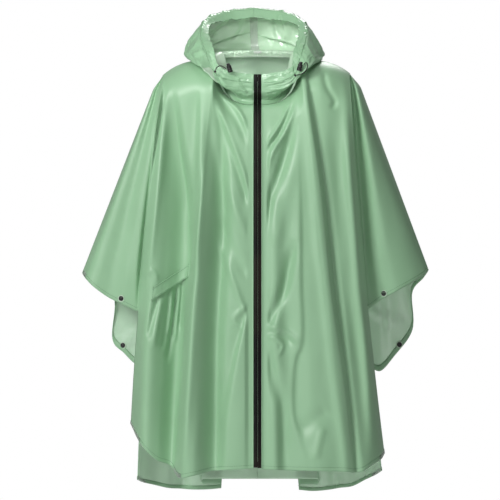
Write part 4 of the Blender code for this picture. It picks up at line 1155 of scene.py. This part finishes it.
ZIP_HALF = 0.0092
ZIP_WALL = 0.0011
ZIP_TOP_Z = -0.013
ZIP_BOTTOM_Z = -0.949
zip_black = bpy.data.materials.new("zip_coated_tape")
zip_black.use_nodes = True
zip_nodes, zip_links = zip_black.node_tree.nodes, zip_black.node_tree.links
zip_shader = zip_nodes["Principled BSDF"]
zip_place = zip_nodes.new("ShaderNodeTexCoord")
# brownish patches mixed into the black base colour are painted sheen
zip_sheen_patches = zip_nodes.new("ShaderNodeTexNoise")
zip_sheen_patches.inputs["Scale"].default_value = 9
zip_tones = zip_nodes.new("ShaderNodeValToRGB")
zip_tones.color_ramp.elements[0].position = 0.40
zip_tones.color_ramp.elements[0].color = (0.003, 0.003, 0.003, 1)
zip_tones.color_ramp.elements[1].position = 0.68
zip_tones.color_ramp.elements[1].color = (0.017, 0.014, 0.009, 1)
zip_ribs = zip_nodes.new("ShaderNodeTexWave")
zip_ribs.bands_direction = "Z"
zip_ribs.inputs["Scale"].default_value = 260
zip_rib_bump = zip_nodes.new("ShaderNodeBump")
zip_rib_bump.inputs["Strength"].default_value = 0.25
zip_rib_bump.inputs["Distance"].default_value = 0.0003
zip_shader.inputs["Roughness"].default_value = 0.55
zip_shader.inputs["Specular IOR Level"].default_value = 0.15
zip_links.new(zip_place.outputs["Object"], zip_sheen_patches.inputs["Vector"])
zip_links.new(zip_sheen_patches.outputs["Fac"], zip_tones.inputs["Fac"])
zip_links.new(zip_tones.outputs["Color"], zip_shader.inputs["Base Color"])
zip_links.new(zip_place.outputs["Object"], zip_ribs.inputs["Vector"])
zip_links.new(zip_ribs.outputs["Fac"], zip_rib_bump.inputs["Height"])
zip_links.new(zip_rib_bump.outputs["Normal"], zip_shader.inputs["Normal"])

centre_line = [body_point(FRONT_RIGHT, FRONT_RIGHT_FOLDS[0], row / 60)
               for row in range(60, 0, -1)]
centre_line = [point for point in centre_line if point.z > ZIP_BOTTOM_Z]
centre_line += [hood_point(LEFT, 0, RIM_PLACE * k / 12) for k in range(1, 13)]
centre_line[0].z = ZIP_BOTTOM_Z
centre_line[-1].z = ZIP_TOP_Z
ZIP_ROWS = 300


def zip_spot(down):
    return spline(centre_line, (1 - down) * (len(centre_line) - 1))


def zip_wander(z):
    """The stiff tape waves a little from side to side between the sewn edges."""
    return 0.0004 * noise.noise(Vector((3.0, 0.0, z * 14)))


for name, side in (("zip_tape_right", RIGHT), ("zip_tape_left", LEFT)):
    def tape_row(across, down):
        spot = zip_spot(down)
        inner, outer = 0.00018, ZIP_HALF - 0.0001
        x = inner + (outer - inner) * across
        crown = 0.0007 * math.sin(math.pi * min(across * 1.6, 1.0)) + 0.0003
        return Vector((side * x + zip_wander(spot.z) * (1 - across), spot.y - crown, spot.z))

    mesh = bmesh.new()
    add_patch(mesh, 10, ZIP_ROWS, tape_row)
    if side == RIGHT:
        bmesh.ops.reverse_faces(mesh, faces=mesh.faces)
    bmesh.ops.solidify(mesh, geom=mesh.faces[:], thickness=ZIP_WALL)

    # half of the coil, one small loop for each tooth, on the inner face
    tooth_pitch = 0.0026
    for k in range(int((ZIP_TOP_Z - ZIP_BOTTOM_Z - 0.03) / tooth_pitch)):
        z = ZIP_BOTTOM_Z + 0.016 + tooth_pitch * (k + (0.5 if side == LEFT else 0.0))
        y = min(centre_line, key=lambda point: abs(point.z - z)).y
        tooth = bmesh.ops.create_cube(mesh, size=1)
        bmesh.ops.scale(mesh, verts=tooth["verts"], vec=(0.0030, 0.0012, 0.0009))
        bmesh.ops.translate(mesh, verts=tooth["verts"], vec=(side * 0.0022, y + 0.0022, z))
    piece = make_object(f"{name}_coated", mesh, zip_black)
    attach(piece, "garment")
    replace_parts(piece, name)

moulded, _ = plain_material("moulded_black_plastic", (0.010, 0.010, 0.010), 0.33)


def moulded_piece(mesh, name, body="garment"):
    """Object of black plastic from a mesh, shaded smooth."""
    piece = make_object(name, mesh, moulded, smooth=True)
    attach(piece, body)
    return piece


top_spot, foot_spot = centre_line[-2], centre_line[0]
for name, node, size, centre in (
        ("zip_slider_body", "zip_slider", (0.0080, 0.0036, 0.0110),
         (0, top_spot.y + 0.0046, ZIP_TOP_Z - 0.012)),
        ("zip_foot_box", "zip_box", (0.0100, 0.0030, 0.0120),
         (0, foot_spot.y + 0.0036, ZIP_BOTTOM_Z + 0.008))):
    mesh = bmesh.new()
    made = bmesh.ops.create_cube(mesh, size=1)
    bmesh.ops.scale(mesh, verts=made["verts"], vec=size)
    bmesh.ops.bevel(mesh, geom=mesh.edges[:], offset=0.0008, affect="EDGES", segments=3,
                    profile=0.5, material=-1)
    bmesh.ops.translate(mesh, verts=mesh.verts, vec=centre)
    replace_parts(moulded_piece(mesh, name), node)

# ------------------------------------------------------------------ pocket
# A slanted welt of doubled cloth on the right front, tacked at both ends with its lower edge
# open, and a flat bag of the same cloth hanging inside behind it.

WELT_TOP_INNER = (-0.162, -0.465)
WELT_TOP_OUTER = (-0.251, -0.523)
WELT_WIDTH = 0.031
WELT_LIFT = 0.0026
WELT_GAPE = 0.0034          # how far the open lower edge stands off
BAG_TOP_OUTER = (-0.245, -0.519)
BAG_DEPTH = 0.150
BAG_LIFT = 0.0035
BAG_REACH = 0.012          # the flat bag rests on the deepest folds and bridges the others


def on_panel(panel, x, z, way=None):
    """Point and normal of a hanging panel at a place, seen from outside (or inside)."""
    way = way or -panel.facing
    place, normal, _, _ = laid[panel].ray_cast(Vector((x, -way, z)), Vector((0, way, 0)))
    return place, normal


def welt_place(across, down):
    top_x = WELT_TOP_OUTER[0] + (WELT_TOP_INNER[0] - WELT_TOP_OUTER[0]) * across
    top_z = WELT_TOP_OUTER[1] + (WELT_TOP_INNER[1] - WELT_TOP_OUTER[1]) * across
    place, _ = on_panel(FRONT_RIGHT, top_x - 0.003 * down, top_z - WELT_WIDTH * down)
    gape = WELT_GAPE * down ** 2 * math.sin(math.pi * (0.1 + 0.8 * across))
    lift = WELT_LIFT + gape + 0.0005 * noise.noise(Vector((across * 14, down * 3, 1.0)))
    return place + Vector((0, -lift, 0))


welt_mesh = bmesh.new()
add_patch(welt_mesh, 64, 18, welt_place)
laid["welt"] = BVHTree.FromBMesh(welt_mesh)
welt = finish_cloth(welt_mesh, "slanted_welt", face_cloth, 0.0014)
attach(welt, "garment")
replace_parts(welt, "pocket_welt")


def bag_place(across, down):
    top_x = BAG_TOP_OUTER[0] + (WELT_TOP_INNER[0] - BAG_TOP_OUTER[0]) * across
    top_z = BAG_TOP_OUTER[1] + (WELT_TOP_INNER[1] - BAG_TOP_OUTER[1]) * across
    behind = [on_panel(FRONT_RIGHT, top_x + BAG_REACH * k, top_z - BAG_DEPTH * down, way=-1)[0]
              for k in range(-2, 3)]
    return Vector((top_x, max(spot.y for spot in behind) + BAG_LIFT, top_z - BAG_DEPTH * down))


bag_mesh = bmesh.new()
add_patch(bag_mesh, 36, 50, bag_place)
bag = finish_cloth(bag_mesh, "pocket_bag_cloth", face_cloth, CLOTH)
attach(bag, "garment")
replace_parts(bag, "pocket_bag")

# ------------------------------------------------------------------ snaps
# Black sprung snaps at the corners of the cuffs, riveted through the cloth. Round each lies a pale
# flat ring, a painted highlight of the cloth pressed round the snap. A turned cap shows on the face
# and a stud on the inner side.

SNAP_RADIUS = 0.006
SNAP_HEIGHT = 0.0022
Snap = namedtuple("Snap", "name panel x z")
SNAPS = (
    Snap("front_right", FRONT_RIGHT, -0.326, -0.548),
    Snap("back_right", BACK_RIGHT, -0.324, -0.662),
    Snap("front_left", FRONT_LEFT, 0.302, -0.536),
    Snap("back_left", BACK_LEFT, 0.342, -0.660),
)
# the pale ring round each snap is a painted highlight of the pressed cloth, not a part of the snap
highlight_ring_material, _ = plain_material("painted_highlight_ring", (0.50, 0.66, 0.50), 0.35)


def lathe(mesh, profile, steps=32):
    """Turned solid about Z from a profile of (radius, height), closed on its axis."""
    line = [mesh.verts.new((radius, 0, height)) for radius, height in profile]
    edges = [mesh.edges.new(pair) for pair in zip(line, line[1:])]
    bmesh.ops.spin(mesh, geom=line + edges, axis=(0, 0, 1), cent=(0, 0, 0), angle=math.tau,
                   steps=steps, use_merge=True)
    bmesh.ops.remove_doubles(mesh, verts=mesh.verts, dist=0.00002)
    bmesh.ops.recalc_face_normals(mesh, faces=mesh.faces)


CAP = ((0, 0), (SNAP_RADIUS, 0), (SNAP_RADIUS, 0.0008), (SNAP_RADIUS * 0.93, 0.0015),
       (SNAP_RADIUS * 0.78, 0.0019), (SNAP_RADIUS * 0.70, 0.0017), (SNAP_RADIUS * 0.45, 0.0016),
       (SNAP_RADIUS * 0.30, SNAP_HEIGHT * 0.9), (0, SNAP_HEIGHT))
# profile of the thin pale ring of painted highlight round each snap
HIGHLIGHT_RING = ((SNAP_RADIUS * 1.02, 0.0), (SNAP_RADIUS * 1.42, 0.0), (SNAP_RADIUS * 1.38, 0.0003),
        (SNAP_RADIUS * 1.02, 0.0004))
for snap in SNAPS:
    for part, way in (("cap", -snap.panel.facing), ("stud", snap.panel.facing)):
        place, normal = on_panel(snap.panel, snap.x, snap.z, way)
        facing = -way
        if normal.y * facing < 0:
            normal = -normal
        wall = 0.0 if part == "cap" else CLOTH
        mesh = bmesh.new()
        lathe(mesh, CAP)
        black_faces = set(mesh.faces)
        lathe(mesh, HIGHLIGHT_RING + HIGHLIGHT_RING[:1])
        for face in mesh.faces:
            face.material_index = 0 if face in black_faces else 1
        turn = normal.to_track_quat("Z", "Y").to_matrix().to_4x4()
        move = Matrix.Translation(place + normal * (wall + 0.0005))
        bmesh.ops.transform(mesh, matrix=move @ turn, verts=mesh.verts)
        piece = moulded_piece(mesh, f"press_{snap.name}_{part}")
        piece.data.materials.append(highlight_ring_material)
        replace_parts(piece, f"snap_{snap.name}_{part}")

# ------------------------------------------------------------------ cord locks
# Moulded barrels that grip the drawcord where it leaves the casing. A sprung plunger in each
# is pressed down to let the cord run.

LOCK_RADIUS = 0.0060
LOCK_LENGTH = 0.0160
LOCK_BORE_RADIUS = 0.0046
LOCK_BORE_DEPTH = 0.0100
PLUNGER_RADIUS = 0.0042
Lock = namedtuple("Lock", "name base axis")
LOCKS = (
    Lock("right", (-0.0640, -0.1205, -0.0085), (-0.30, -0.12, 0.92)),
    Lock("left", (0.0985, -0.1195, -0.0050), (0.24, -0.08, 0.96)),
)
BARREL = ((0, 0), (0.0042, 0), (0.0054, 0.0005), (LOCK_RADIUS, 0.0016), (LOCK_RADIUS, 0.0052),
          (0.0054, 0.0058), (0.0054, 0.0066), (LOCK_RADIUS, 0.0072), (LOCK_RADIUS, 0.0100),
          (0.0054, 0.0106), (0.0054, 0.0114), (LOCK_RADIUS, 0.0120), (LOCK_RADIUS, 0.0154),
          (0.0057, LOCK_LENGTH), (LOCK_BORE_RADIUS + 0.0002, LOCK_LENGTH),
          (LOCK_BORE_RADIUS, LOCK_LENGTH - 0.0004),
          (LOCK_BORE_RADIUS, LOCK_LENGTH - LOCK_BORE_DEPTH), (0, LOCK_LENGTH - LOCK_BORE_DEPTH))
PLUNGER = ((0, 0.0100), (PLUNGER_RADIUS, 0.0100), (PLUNGER_RADIUS, 0.0204),
           (0.0040, 0.0212), (0.0034, 0.0217), (0.0022, 0.0220), (0, 0.0220))
for lock in LOCKS:
    axis = Vector(lock.axis)
    turn = axis.to_track_quat("Z", "Y").to_matrix().to_4x4()
    move = Matrix.Translation(Vector(lock.base))
    for part, profile, body in (("barrel", BARREL, "garment"),
                                ("plunger", PLUNGER, f"plunger_{lock.name}")):
        mesh = bmesh.new()
        lathe(mesh, profile)
        bmesh.ops.transform(mesh, matrix=move @ turn, verts=mesh.verts)
        piece = moulded_piece(mesh, f"toggle_{lock.name}_{part}", body)
        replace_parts(piece, f"lock_{lock.name}_{part}")

# ------------------------------------------------------------------ stitching
# Green polyester thread, a lockstitch a few millimetres long, along the turned-up hems and
# cuffs, the casing and the edges of the pocket welt.

STITCH_PITCH = 0.0042
STITCH_LENGTH = 0.0028
STITCH_WIDTH = 0.0007
thread, _ = plain_material("green_thread", (0.13, 0.26, 0.14), 0.7)


def stitch(mesh, line):
    """Row of short stitches along a line of (point, normal) pairs."""
    left_over = 0.0
    for (start, up), (stop, _) in zip(line, line[1:]):
        span = (stop - start).length
        if span < 0.00001:
            continue
        way = (stop - start) / span
        spot = left_over
        while spot < span:
            made = bmesh.ops.create_cube(mesh, size=1)
            bmesh.ops.scale(mesh, verts=made["verts"],
                            vec=(STITCH_LENGTH, STITCH_WIDTH, STITCH_WIDTH))
            across = up.cross(way).normalized()
            turn = Matrix((way, across, way.cross(across))).transposed().to_4x4()
            move = Matrix.Translation(start + way * spot + up * STITCH_WIDTH * 0.3)
            bmesh.ops.transform(mesh, matrix=move @ turn, verts=made["verts"])
            spot += STITCH_PITCH
        left_over = spot - span


def seam_on(panel, places, way=None):
    """Line of (point, normal) pairs of a hanging panel under a row of places."""
    line = []
    for x, z in places:
        place, normal = on_panel(panel, x, z, way)
        if place:
            line.append((place, normal if normal.y * panel.facing > 0 else -normal))
    return line


hem_thread = bmesh.new()
for panel in (FRONT_RIGHT, FRONT_LEFT, BACK_RIGHT, BACK_LEFT):
    hem_share = 1 - HEM_WIDTH * 0.9
    hem_places = []
    for k in range(121):
        point = body_point(panel, fold_at(panel, k / 120), hem_share)
        hem_places.append((point.x, point.z))
    stitch(hem_thread, seam_on(panel, hem_places))
    cuff_share = panel.underarm - HEM_WIDTH * 0.9
    inner = body_point(panel, panel.folds[-1], cuff_share)
    cuff_line = [inner] + [wing_point(panel, wing, cuff_share) for wing in panel.wings]
    cuff_places = []
    for k in range(61):
        point = spline(cuff_line, k / 60 * 0.97 * (len(cuff_line) - 1))
        cuff_places.append((point.x, point.z))
    stitch(hem_thread, seam_on(panel, cuff_places))
for rise in (0.10, 0.90):
    welt_line = []
    for k in range(61):
        point = welt_place(0.02 + (1 - 2 * 0.02) * k / 60, rise)
        welt_line.append((point, Vector((0, -1, 0))))
    stitch(hem_thread, welt_line)
for end in (0.03, 0.97):
    stitch(hem_thread, [(welt_place(end, k / 12), Vector((0, -1, 0))) for k in range(13)])
for side in (RIGHT, LEFT):
    spots = [(0.1 + 5.8 * k / 240, CASING_PLACE + 0.10) for k in range(241)]
    points = crumple(side, spots, [hood_point(side, *spot) for spot in spots])
    stitch(hem_thread, [(point, (point - HOOD_CENTRE).normalized()) for point in points])
topstitching = make_object("topstitching", hem_thread, thread)
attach(topstitching, "garment")
